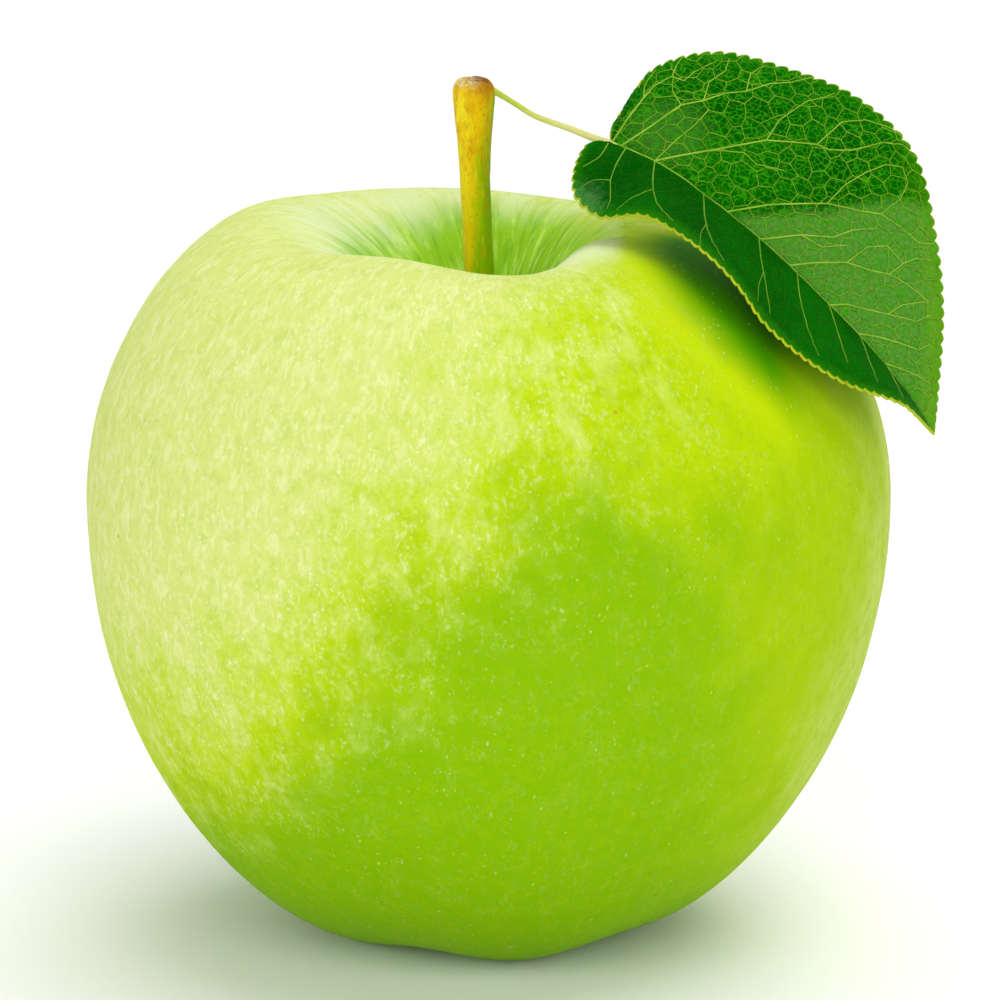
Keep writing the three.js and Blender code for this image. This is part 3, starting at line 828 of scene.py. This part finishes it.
MIDRIB_LINE = [
    (12.3, -3.0, 81.1), (16.9, -4.5, 79.3), (21.4, -6.0, 76.4), (27.0, -8.0, 72.2), (33.6, -10.0, 66.2),
    (39.2, -11.5, 60.4), (44.0, -12.5, 53.7),
]
FAR_MARGIN = [
    (12.3, -3.0, 81.1), (12.4, -2.0, 82.4), (14.1, -0.5, 84.7), (16.5, 2.3, 87.5), (22.8, 4.9, 88.8),
    (29.9, 5.4, 87.1), (37.0, 4.9, 84.2), (42.6, 2.9, 79.0), (44.9, 0.0, 70.3), (45.4, -3.0, 64.1),
    (44.7, -8.0, 57.2), (44.0, -12.5, 53.7),
]
NEAR_MARGIN = [
    (12.3, -3.0, 81.1), (10.0, -4.0, 81.1), (8.6, -6.5, 79.2), (8.5, -9.0, 77.0), (9.5, -10.0, 75.8),
    (11.1, -10.7, 75.0), (15.2, -12.4, 75.5), (18.4, -14.9, 74.4), (22.0, -17.9, 72.2), (24.6, -19.4, 69.6),
    (26.7, -20.5, 66.7), (30.7, -20.6, 63.1), (34.8, -19.7, 60.4), (38.5, -17.6, 58.6), (40.9, -16.0, 57.3),
    (44.0, -12.5, 53.7),
]
BASE_FAN = 0.08                     # the lowest teeth all spring from the foot of the midrib
BLADE_CROWN_SHARE = 0.05            # each half swells this share of its width
TEETH = 52                          # along each margin
TOOTH_DEPTH = 0.42
TOOTH_OUTLINE = [(0.0, 0.0), (0.28, 0.62), (0.52, 0.92), (0.70, 1.0), (0.86, 0.66)]
BLADE_ROWS = 62
MARGIN_CROWDING = 0.25              # how much closer the rows stand at the margin
ROOT_CROWDING = 1.3                 # above 1, the teeth's roots stand closer at the base
HEADING_STEP = 0.002                # of the midrib's length
PRESSED_SPAN = 100.0                # the pressed leaf's map covers this many millimetres


def blade_sheet():
    """The leaf's middle surface, with a map of where each corner lies on the pressed leaf."""
    midrib = smooth_line(MIDRIB_LINE)
    base, tip = np.array(MIDRIB_LINE[0]), np.array(MIDRIB_LINE[-1])
    chord = (tip - base) / np.linalg.norm(tip - base)
    phase, tooth = (np.array(column) for column in zip(*TOOTH_OUTLINE))
    shares = np.append((np.arange(TEETH)[:, None] + phase).ravel() / TEETH, 1.0)
    fading = np.minimum(1, 12 * np.minimum(shares, 1 - shares))
    notch = TOOTH_DEPTH * np.append(1 - np.tile(tooth, TEETH), 1.0) * fading
    across = np.linspace(0, 1, BLADE_ROWS + 1)
    across = (across * (1 + MARGIN_CROWDING) - MARGIN_CROWDING * across**3)[None, :, None]
    rib_shares = np.maximum(0, (shares - BASE_FAN) / (1 - BASE_FAN)) ** ROOT_CROWDING
    root = along_line(midrib, rib_shares)
    onward, backward = np.minimum(rib_shares + HEADING_STEP, 1), np.maximum(rib_shares - HEADING_STEP, 0)
    heading = along_line(midrib, onward) - along_line(midrib, backward)
    points, faces, maps, edges = [], [], [], []
    columns, rows = len(shares), BLADE_ROWS + 1
    for turn, margin in ((1, FAR_MARGIN), (-1, NEAR_MARGIN)):
        width = along_line(smooth_line(margin), shares) - root
        reach = np.maximum(np.linalg.norm(width, axis=1), 1e-6)
        width *= (np.maximum(reach - notch, 0) / reach)[:, None]
        reach = np.linalg.norm(width, axis=1)
        up = np.cross(heading, width) * turn
        up /= np.maximum(np.linalg.norm(up, axis=1), 1e-9)[:, None]
        half = root[:, None] + width[:, None] * across
        half = half + up[:, None] * (BLADE_CROWN_SHARE * reach[:, None, None] * np.sin(np.pi * across))
        start = len(points) * columns * rows
        index = start + np.arange(columns * rows).reshape(columns, rows)
        quads = np.stack([index[:-1, :-1], index[1:, :-1], index[1:, 1:], index[:-1, 1:]], -1).reshape(-1, 4)
        faces.append(quads if turn > 0 else quads[:, ::-1])
        outward = (half - base).reshape(-1, 3)
        outward = outward - np.outer(outward @ chord, chord)
        outward = outward.mean(0) / np.linalg.norm(outward.mean(0))
        along = (half - base) @ chord
        bow = np.interp(along, (midrib[0] - base) @ chord, (midrib[0] - base) @ outward)
        maps.append(np.stack([along, turn * ((half - base) @ outward - bow)], -1).reshape(-1, 2))
        edges.append(((1 - across[0, :, 0])[None, :] * reach[:, None]).ravel())
        points.append(half.reshape(-1, 3))
    mesh = bpy.data.meshes.new("leaf_sheet")
    places = (np.concatenate(points) + (AXIS_X, 0.0, 0.0)) * MM
    mesh.from_pydata(places.tolist(), [], np.concatenate(faces).tolist())
    corners = np.empty(len(mesh.loops), int)
    mesh.loops.foreach_get("vertex_index", corners)
    pressed = np.concatenate(maps)[corners] / PRESSED_SPAN + 0.5
    mesh.uv_layers.new(name="pressed").data.foreach_set("uv", pressed.ravel().astype(np.float32))
    edge = mesh.attributes.new("edge", "FLOAT", "POINT")
    edge.data.foreach_set("value", np.concatenate(edges).astype(np.float32))
    return add_object("leaf_sheet", mesh)


sheet = blade_sheet()

# The veins are drawn on the pressed leaf, in millimetres along the midrib and out from it, and the
# node tree lays them on the folded one. The stoutest spring from the midrib and fork near the margin.
MIDRIB_VEIN = [(0.0, 0.0), (10.0, 0.0), (20.0, 0.0), (30.0, 0.0), (42.6, 0.0)]
FAR_VEINS = [
    [(0.1, 0.0), (-0.4, 2.8), (-0.7, 5.7), (-0.8, 7.5), (-0.2, 9.6), (-0.7, 11.0), (-0.9, 12.6)],
    [(1.0, 0.0), (1.8, 3.2), (2.5, 6.9), (3.8, 8.5), (4.8, 10.5), (6.2, 12.1), (7.4, 14.6), (8.6, 15.9),
     (9.5, 17.4), (10.0, 18.4)],
    [(4.5, 0.0), (8.0, 4.5), (11.1, 8.8), (15.0, 12.0), (16.2, 12.4), (17.8, 14.0), (19.5, 17.3),
     (21.0, 18.8), (22.3, 19.0)],
    [(13.2, 0.0), (15.8, 3.5), (19.8, 7.7), (22.7, 9.8), (24.3, 11.3), (26.7, 12.1), (28.9, 12.6),
     (30.0, 14.0)],
    [(17.5, 0.0), (20.1, 3.3), (22.5, 5.5), (23.4, 7.6), (25.0, 9.9)],
    [(21.3, 0.0), (22.9, 2.1), (25.2, 4.7), (27.5, 6.1), (29.0, 7.4), (30.8, 8.2), (33.6, 9.1)],
    [(26.9, 0.0), (28.0, 1.4), (29.7, 2.6), (31.6, 4.1), (34.1, 6.3), (34.6, 8.2)],
    [(30.8, 0.0), (32.6, 1.6), (34.7, 3.2), (36.2, 4.4), (36.5, 6.0)],
    [(34.7, 0.0), (36.4, 1.3), (38.0, 2.5), (39.3, 3.2)],
]
FAR_FORKS = [
    [(-0.2, 9.6), (1.0, 9.7), (1.1, 11.3), (1.9, 13.7)],
    [(-0.7, 5.7), (-1.6, 7.0), (-1.8, 9.0)],
    [(2.5, 6.9), (0.9, 8.0), (-0.1, 9.6)],
    [(3.8, 8.5), (2.9, 10.8), (3.2, 13.0), (2.6, 14.6)],
    [(6.2, 12.1), (5.2, 14.2), (5.6, 16.0)],
    [(4.5, 0.0), (4.6, 3.0), (4.9, 5.6), (4.8, 8.0)],
    [(11.1, 8.8), (10.6, 11.5), (11.2, 15.3), (12.1, 16.8), (12.6, 18.2)],
    [(15.0, 12.0), (15.2, 16.0), (16.7, 18.0), (19.0, 19.3), (20.5, 19.5)],
    [(8.0, 4.5), (10.4, 6.2), (12.0, 6.0), (14.6, 7.4)],
    [(19.8, 7.7), (19.8, 10.6), (20.4, 13.3), (21.2, 15.6), (22.6, 16.9), (24.1, 16.1), (24.6, 14.2),
     (24.3, 11.3)],
    [(20.1, 3.3), (22.4, 3.9), (24.0, 6.0)],
    [(29.0, 7.4), (29.2, 9.5), (29.8, 11.2), (31.0, 12.6)],
    [(25.2, 4.7), (25.6, 7.6), (26.9, 9.4), (29.2, 9.5)],
    [(31.6, 4.1), (32.0, 6.2), (33.6, 9.1)],
]
NEAR_VEINS = [
    [(-0.1, 0.4), (0.3, 2.3), (-0.1, 3.5)],
    [(1.5, 0.0), (2.0, 2.0), (2.8, 3.6), (4.2, 4.9), (4.6, 5.6)],
    [(4.5, 0.0), (6.6, 3.8), (8.2, 5.8), (10.4, 7.4)],
    [(10.2, 0.0), (12.2, 4.8), (14.2, 7.6), (16.8, 9.6)],
    [(17.2, 0.0), (19.1, 4.4), (21.4, 7.4), (23.6, 9.7)],
    [(22.3, 0.0), (24.4, 4.1), (27.0, 6.9), (29.8, 8.6)],
    [(26.6, 0.0), (29.9, 4.2), (32.2, 6.3)],
    [(31.0, 0.0), (33.6, 3.2), (35.6, 4.8)],
    [(35.0, 0.0), (37.0, 2.2), (38.4, 3.2)],
]
NEAR_FORKS = [
    [(2.8, 3.6), (1.6, 4.2), (1.2, 5.0)],
    [(6.6, 3.8), (5.6, 5.0), (5.4, 5.8)],
    [(12.9, 6.0), (13.3, 7.9), (14.4, 9.8)],
    [(20.2, 6.0), (20.8, 8.1), (21.9, 10.0)],
]
VEIN_SIZES = {"sheet": sheet, "lift": 0.15, "sink": 0.35, "thickening": 1.0, "sides": 6}
VEIN_STEPS = 8                      # between one kink of a vein and the next
VEIN_TAPER = 0.7                    # below 1, a vein thins early


def vein_layout():
    """Every drawn vein as a guide curve, tapering to its end."""
    lines, radii = [], []
    groups = [
        ([MIDRIB_VEIN], 1, 0.10, 0.06), (FAR_VEINS, 1, 0.105, 0.045), (FAR_FORKS, 1, 0.065, 0.038),
        (NEAR_VEINS, -1, 0.085, 0.040), (NEAR_FORKS, -1, 0.050, 0.032),
    ]
    for veins, turn, stout, thin in groups:
        for vein in veins:
            kinks = np.array([(x, y * turn, 0.0) for x, y in vein])
            if turn < 0:
                kinks = np.array(smooth_line(kinks)[0][::6])
            corners = np.arange(len(kinks))
            shares = np.linspace(0, len(kinks) - 1, VEIN_STEPS * (len(kinks) - 1) + 1)
            lines.append(np.stack([np.interp(shares, corners, kinks[:, axis]) for axis in range(3)], -1))
            radii.append(list(between(stout, thin, (shares / shares[-1]) ** VEIN_TAPER)))
    return guide("veins", *lines, radii=radii)


def carried(tree, name, kind="FLOAT"):
    """A number or a place that the mesh under the tree carries."""
    return node(tree, "GeometryNodeInputNamedAttribute", {"Name": name}, data_type=kind)


def tube(curve, radius, sides):
    """A round tube along a curve, closed at its ends."""
    ring = node(curve.tree, "GeometryNodeCurvePrimitiveCircle", {"Resolution": sides, "Radius": MM})
    return node(curve.tree, "GeometryNodeCurveToMesh", {
        "Curve": curve, "Profile Curve": ring, "Scale": radius, "Fill Caps": True,
    })


def drape(tree, curve, size):
    """Lays curves drawn on the pressed leaf on the folded sheet and gives them their thickness."""
    sheet_mesh = shape_of(size["sheet"])
    pressed = carried(tree, "pressed", "FLOAT_VECTOR")
    wanted = here(tree) * (1 / PRESSED_SPAN) + (0.5, 0.5, 0.0)

    def sample(value, out="Value"):
        return node(tree, "GeometryNodeSampleUVSurface", {
            "Mesh": sheet_mesh, "Value": value, "UV Map": pressed, "Sample UV": wanted,
        }, out=out, data_type="FLOAT_VECTOR")

    place, normal = sample(here(tree)), sample(facing(tree))
    kept = node(tree, "GeometryNodeDeleteGeometry", {
        "Geometry": curve, "Selection": 1.0 - sample(here(tree), "Is Valid"),
    }, domain="POINT")
    kept = marked(kept, "pressed_out", here(tree).axes()[1])
    radius = node(tree, "GeometryNodeInputRadius")
    height = size["lift"] - radius * size["sink"]
    laid = moved(kept, Position=place + normal * (height * MM))
    return tube(laid, radius * size["thickening"], size["sides"])


def vein_tree(sizes):
    tree, size = start_tree("veins laid on the leaf", sizes)
    end_tree(tree, drape(tree, shape_of(size["layout"]), size), size["material"])
    return tree


NET_SPAN = (50.0, 62.0)             # the net is laid out this wide, and what misses the leaf is dropped
NET_MIDDLE = (21.0, 3.0)
HONEYCOMB_ROW = 0.866               # from one row of cells to the next, in cells


def net_tree(sizes):
    """The net between the veins: cells round the points of a jittered honeycomb."""
    tree, size = start_tree("net of small veins", sizes)
    cell = size["cell"]
    along, out = (calc("CEIL", span / cell) for span in NET_SPAN)
    grid = node(tree, "GeometryNodeMeshGrid", {
        "Size X": (along - 1.0) * cell, "Size Y": (out - 1.0) * cell * HONEYCOMB_ROW,
        "Vertices X": along, "Vertices Y": out,
    })
    odd = calc("MODULO", calc("MODULO", node(tree, "GeometryNodeInputIndex"), out), 2.0)
    jitter = chance((-0.5, -0.5, 0.0), (0.5, 0.5, 0.0), size["seed"])
    shift = triple(odd * cell * 0.5 + NET_MIDDLE[0], NET_MIDDLE[1], 0.0) + jitter * (cell * size["jitter"])
    spread = node(tree, "GeometryNodeTriangulate", {"Mesh": moved(grid, Offset=shift)})
    honeycomb = node(tree, "GeometryNodeDualMesh", {"Mesh": spread})
    lines = node(tree, "GeometryNodeMeshToCurve", {"Mesh": honeycomb})
    lines = node(tree, "GeometryNodeResampleCurve", {"Curve": lines, "Count": size["points"]})
    wander = noise(here(tree), 1.1 / cell, 1.0, out="Color") - (0.5, 0.5, 0.5)
    lines = moved(lines, Offset=wander * (1.0, 1.0, 0.0) * (cell * size["wander"]))
    faint = step(here(tree).axes()[1], -0.4, 0.4, 0.45, 1.0)
    lines = node(tree, "GeometryNodeSetCurveRadius", {"Curve": lines, "Radius": size["radius"] * faint})
    end_tree(tree, drape(tree, lines, size), size["material"])
    return tree


UPPER_GREEN = (0.001, 0.110, 0.000, 1.0)
DEEP_GREEN = (0.000, 0.065, 0.000, 1.0)
SHEEN_GREEN = (0.110, 0.250, 0.100, 1.0)
TIP_GREEN = (0.150, 0.350, 0.000, 1.0)
YOUNG_GREEN = (0.030, 0.270, 0.001, 1.0)
LEAF_SHEEN_PAINT = (0.110, 0.290, 0.036, 1.0)
UNDER_GREEN = (0.190, 0.350, 0.090, 1.0)
DOWNY_GREEN = (0.260, 0.420, 0.150, 1.0)
MARGIN_YELLOW = (0.520, 0.560, 0.020, 1.0)
MARGIN_GREEN = (0.420, 0.520, 0.020, 1.0)
VEIN_PALE = (0.310, 0.490, 0.050, 1.0)
VEIN_GREEN = (0.190, 0.390, 0.025, 1.0)
SMALL_VEIN_PALE = (0.230, 0.440, 0.028, 1.0)
SMALL_VEIN_GREEN = (0.150, 0.370, 0.014, 1.0)
NET_PALE = (0.080, 0.290, 0.006, 1.0)
NET_GREEN = (0.040, 0.230, 0.003, 1.0)
UNDER_VEIN_PALE = (0.420, 0.560, 0.200, 1.0)
UNDER_VEIN_GREEN = (0.330, 0.490, 0.130, 1.0)
SUNK_VEIN = (0.010, 0.160, 0.000, 1.0)


def leaf_material():
    green, tree, shader = start_material("leaf_green", Specular_IOR_Level=0.02, IOR=1.45)
    place = painted(tree, "pressed", "Vector") * PRESSED_SPAN
    along, out, _ = (place - (PRESSED_SPAN / 2, PRESSED_SPAN / 2, 0.0)).axes()
    edge, vein, under = (painted(tree, name) for name in ("edge", "vein_gap", "under"))
    clouds = noise(place, 0.12, 3.0)
    grain = noise(place, 2.6, 3.0, 0.7)
    wavy = place + (noise(place, 1.0, 2.0) - 0.5) * (0.8, 0.8, 0.0)
    areoles = cells(wavy, 1.55, feature="DISTANCE_TO_EDGE")
    far_half = step(out, -0.3, 0.5)
    colour = tint(step(clouds, 0.3, 0.7), DEEP_GREEN, UPPER_GREEN)
    # A painted sheen where the blade catches the light: a wedge towards the tip and a patch by the base.
    wedge = step(along - out * 0.75 + (clouds - 0.5) * 3.0 + (grain - 0.5) * 2.5, 13.5, 15.5)
    patch = step(calc("LENGTH", triple(along - 3.5, out - 3.5, 0.0)) + (grain - 0.5) * 5.0, 5.5, 1.5)
    painted_sheen = calc("MAXIMUM", wedge, patch * 0.4) * far_half * step(grain, 0.25, 0.6, 0.45, 0.85)
    colour = tint(painted_sheen, colour, LEAF_SHEEN_PAINT)
    net = step(areoles, 0.10, 0.03) * between(0.10, 1.0, far_half)
    colour = tint(net * step(grain, 0.25, 0.65, 0.35, 0.95), colour, YOUNG_GREEN)
    # A painted sheen on the near basal lobe.
    lobe = step(calc("LENGTH", triple(along - 2.0, out + 7.5, 0.0)) + (grain - 0.5) * 3.5, 3.6, 1.4)
    colour = tint(lobe * 0.55, colour, SHEEN_GREEN)
    ripe = step(along, 18.0, 40.0) * step(edge + (clouds - 0.5) * 2.0, 4.5, 0.5) * far_half
    colour = tint(ripe * 0.55, colour, TIP_GREEN)
    colour = tint(step(grain, 0.52, 0.74, 0.0, 0.25) * far_half, colour, YOUNG_GREEN)
    colour = tint(step(vein, 0.16, 0.0, 0.0, 0.40), colour, YOUNG_GREEN)
    colour = tint(step(edge + (clouds - 0.5) * 3.0, 1.8, 0.1, 0.0, 0.35), colour, YOUNG_GREEN)
    colour = tint(step(edge, 0.18, 0.04, 0.0, 0.7), colour, MARGIN_YELLOW)
    downy = tint(step(noise(place, 1.2, 3.0), 0.35, 0.7), UNDER_GREEN, DOWNY_GREEN)
    colour = tint(under, colour, downy)
    roughness = between(step(clouds, 0.3, 0.7, 0.45, 0.55), 0.8, under)
    finish(shader, colour, step(areoles, 0.0, 0.12) + grain * 0.35, 0.035, roughness)
    return green


def vein_material(name, pale, deep, sunk=0.45):
    """Pale vein flesh; on the near half the veins lie sunk, and this share of them takes its green."""
    flesh, tree, shader = start_material(name, Roughness=0.5, Specular_IOR_Level=0.05)
    place, *_ = around_axis(tree)
    colour = tint(step(noise(place, 0.5, 3.0), 0.35, 0.7), pale, deep)
    colour = tint(step(painted(tree, "pressed_out"), -0.4, 0.2, sunk, 0.0), colour, SUNK_VEIN)
    finish(shader, colour, noise(place, 4.0, 3.0), 0.02)
    return flesh


VEIN_FLESH = vein_material("vein_flesh", VEIN_PALE, VEIN_GREEN)
SMALL_VEIN_FLESH = vein_material("small_vein_flesh", SMALL_VEIN_PALE, SMALL_VEIN_GREEN, 0.92)
NET_FLESH = vein_material("net_flesh", NET_PALE, NET_GREEN, 0.95)
UNDER_VEIN_FLESH = vein_material("under_vein_flesh", UNDER_VEIN_PALE, UNDER_VEIN_GREEN)

layout = vein_layout()
VEIN_SIZES.update(layout=layout, material=VEIN_FLESH)
lay_veins = vein_tree(VEIN_SIZES)
leaf_veins = grow("leaf_veins", lay_veins, VEIN_SIZES)
NET_SIZES = {
    "sheet": sheet, "cell": 2.1, "jitter": 0.95, "wander": 0.12, "points": 4, "radius": 0.036, "seed": 2,
    "lift": 0.16, "sink": 0.3, "thickening": 1.0, "sides": 4, "material": SMALL_VEIN_FLESH,
}
lay_net = net_tree(NET_SIZES)
leaf_net = grow("leaf_net", lay_net, NET_SIZES)
fine_sizes = dict(NET_SIZES, cell=0.78, lift=0.14, points=2, radius=0.018, seed=5, sides=3)
fine_sizes["material"] = NET_FLESH
leaf_fine_net = grow("leaf_fine_net", lay_net, fine_sizes)
under_sizes = dict(VEIN_SIZES, lift=-0.16, sink=-0.4, thickening=1.7, material=UNDER_VEIN_FLESH)
under_veins = grow("leaf_under_veins", lay_veins, under_sizes)
under_net_sizes = dict(NET_SIZES, lift=-0.15, sink=-0.3, thickening=1.2, material=UNDER_VEIN_FLESH)
under_net = grow("leaf_under_net", lay_net, under_net_sizes)
bpy.data.objects.remove(layout)

BLADE_SIZES = {
    "veins": leaf_veins, "net": leaf_net, "fine net": leaf_fine_net, "thickness": 0.28,
    "cushion": 0.15, "small cushion": 0.035, "dip": 0.05, "material": leaf_material(),
}
SHEET_WELD = 0.0005                 # millimetres


def blade_tree(sizes):
    tree, size = start_tree("cushioned blade", sizes)

    def gap(name):
        return node(tree, "GeometryNodeProximity", {
            "Geometry": shape_of(size[name]),
        }, out="Distance", target_element="FACES") * (1 / MM)

    stout = calc("MINIMUM", gap("veins"), gap("net"))
    gaps = marked(welded(size["Geometry"], SHEET_WELD), "vein_gap", stout)
    swell = step(stout, 0.05, 0.85) * size["cushion"]
    swell = swell + step(gap("fine net"), 0.02, 0.25) * size["small cushion"] - size["dip"]
    swell = swell * step(carried(tree, "edge"), 0.0, 0.8)
    swollen = moved(gaps, Offset=facing(tree) * (swell * MM))
    lower = moved(swollen, Offset=facing(tree) * (size["thickness"] * -0.5 * MM))
    raised = extruded(tree, marked(lower, "under", 0.0, "FACE"), size["thickness"] * MM)
    underside = flipped(marked(lower, "under", 1.0, "FACE"))
    closed = welded(joined(underside, raised), SHEET_WELD)
    end_tree(tree, node(tree, "GeometryNodeSetShadeSmooth", {"Geometry": closed}), size["material"])
    return tree


leaf_blade = grow("leaf_blade_green", blade_tree(BLADE_SIZES), BLADE_SIZES, start=sheet.data.copy())
keep(leaf_blade, "leaf", "leaf_blade")
for veins in (leaf_veins, leaf_net, leaf_fine_net, under_veins, under_net):
    keep(veins, "leaf")

# The midrib stands out below the blade as a tapering rib, and a thin gristly edge runs round the teeth.
MIDRIB_OUTLINE = [
    (0.0, 0.0), (0.0, 0.26), (1.2, 0.34), (6.0, 0.36), (18.0, 0.32), (32.0, 0.25), (41.0, 0.18), (43.0, 0.10),
    (43.2, 0.0),
]
MIDRIB_BELOW = (-0.17, 0.22, -0.28)
rib_line = np.array([(11.2, -2.7, 81.3), *MIDRIB_LINE[:-1], (43.8, -12.4, 54.0)]) + MIDRIB_BELOW
midrib = turned("leaf_midrib", rib_line.tolist(), MIDRIB_OUTLINE, dict(STALK_SIZES, rows=260), STALK_FLESH)
keep(midrib, "leaf")

RIM_SIZES = {
    "radius": 0.105, "sides": 6, "material": vein_material("yellow_margin", MARGIN_YELLOW, MARGIN_GREEN),
}


def rim_tree(sizes):
    tree, size = start_tree("gristly margin", sizes)
    sides = node(tree, "GeometryNodeInputMeshEdgeNeighbors")
    outer = node(tree, "FunctionNodeCompare", {"A": sides, "B": 1}, data_type="INT", operation="EQUAL")
    line = node(tree, "GeometryNodeMeshToCurve", {
        "Mesh": welded(size["Geometry"], SHEET_WELD), "Selection": outer,
    })
    end_tree(tree, tube(line, size["radius"], size["sides"]), size["material"])
    return tree


leaf_rim = grow("leaf_rim", rim_tree(RIM_SIZES), RIM_SIZES, start=sheet.data.copy())
keep(leaf_rim, "leaf")
bpy.data.objects.remove(sheet)

# ---- Table, light and camera -------------------------------------------------------------------------
# A plain white table under soft studio light: one softbox overhead, one in front and one at either
# side, a last one on the left for the gloss alone, and a surround that is white to the camera and
# lights the fruit mostly from behind. The camera looks a little down on the fruit.

TABLE_RADIUS = 3.0
TABLE_SIDES = 72
turns = [2 * math.pi * side / TABLE_SIDES for side in range(TABLE_SIDES)]
floor_mesh = bpy.data.meshes.new("table_top")
floor_mesh.from_pydata(
    [(TABLE_RADIUS * math.cos(turn), TABLE_RADIUS * math.sin(turn), 0.0) for turn in turns],
    [], [list(range(TABLE_SIDES))],
)
table = add_object("table_top", floor_mesh)
table_finish, *_ = start_material(
    "white_table", Base_Color=(0.95, 0.95, 0.95, 1.0), Roughness=0.9, Specular_IOR_Level=0.0,
)
floor_mesh.materials.append(table_finish)
table.visible_glossy = False


LIGHT_TARGET = (0.0, 0.0, 0.045)


def softbox(name, direction, distance, size, power, diffuse=True, glossy=True):
    """A square softbox that faces the fruit's middle."""
    lamp = bpy.data.lights.new(name, "AREA")
    lamp.shape, lamp.size, lamp.energy = "SQUARE", size, power
    box = add_object(name, lamp)
    towards = Vector(direction).normalized()
    box.location = Vector(LIGHT_TARGET) + towards * distance
    box.rotation_mode = "QUATERNION"
    box.rotation_quaternion = towards.to_track_quat("Z", "Y")
    box.visible_camera = False
    box.visible_diffuse, box.visible_glossy = diffuse, glossy


softbox("overhead_softbox", (0.20, 0.15, 0.97), 3.0, 3.0, 76.0, glossy=False)
softbox("front_fill", (0.00, -0.90, 0.40), 2.5, 3.0, 54.0, glossy=False)
softbox("left_fill", (-0.90, -0.40, 0.10), 2.5, 2.2, 30.0, glossy=False)
softbox("right_fill", (0.90, -0.40, 0.10), 2.5, 2.2, 26.0, glossy=False)
softbox("left_glow", (-0.95, 0.10, 0.30), 1.0, 2.2, 45.0, diffuse=False)

world = bpy.data.worlds.new("white_surround")
bpy.context.scene.world = world
world.use_nodes = True
surround = world.node_tree
background = surround.nodes["Background"]
seen = node(surround, "ShaderNodeLightPath", out="Is Camera Ray")
behind = node(surround, "ShaderNodeTexCoord", out="Generated").axes()[1]
put(between(step(behind, 0.2, 0.8, 0.02, 1.0), 1.0, seen), background.inputs["Strength"])
background.inputs["Color"].default_value = (1.0, 1.0, 1.0, 1.0)
bpy.context.scene.view_settings.view_transform = "Standard"

CAMERA_TARGET = (-0.00149, 0.0, 0.0440)
CAMERA_DISTANCE = 0.700
CAMERA_ELEVATION = 13.7
CAMERA_LENS = 250.74                # millimetres, on a sensor 36 mm wide
camera_data = bpy.data.cameras.new("camera")
camera_data.sensor_width, camera_data.lens = 36.0, CAMERA_LENS
camera_data.clip_start, camera_data.clip_end = 0.02, 20.0
camera = add_object("camera", camera_data)
tilt = math.radians(CAMERA_ELEVATION)
back = Vector((0.0, -math.cos(tilt), math.sin(tilt)))
camera.location = Vector(CAMERA_TARGET) + back * CAMERA_DISTANCE
camera.rotation_mode = "QUATERNION"
camera.rotation_quaternion = back.to_track_quat("Z", "Y")
bpy.context.scene.camera = camera
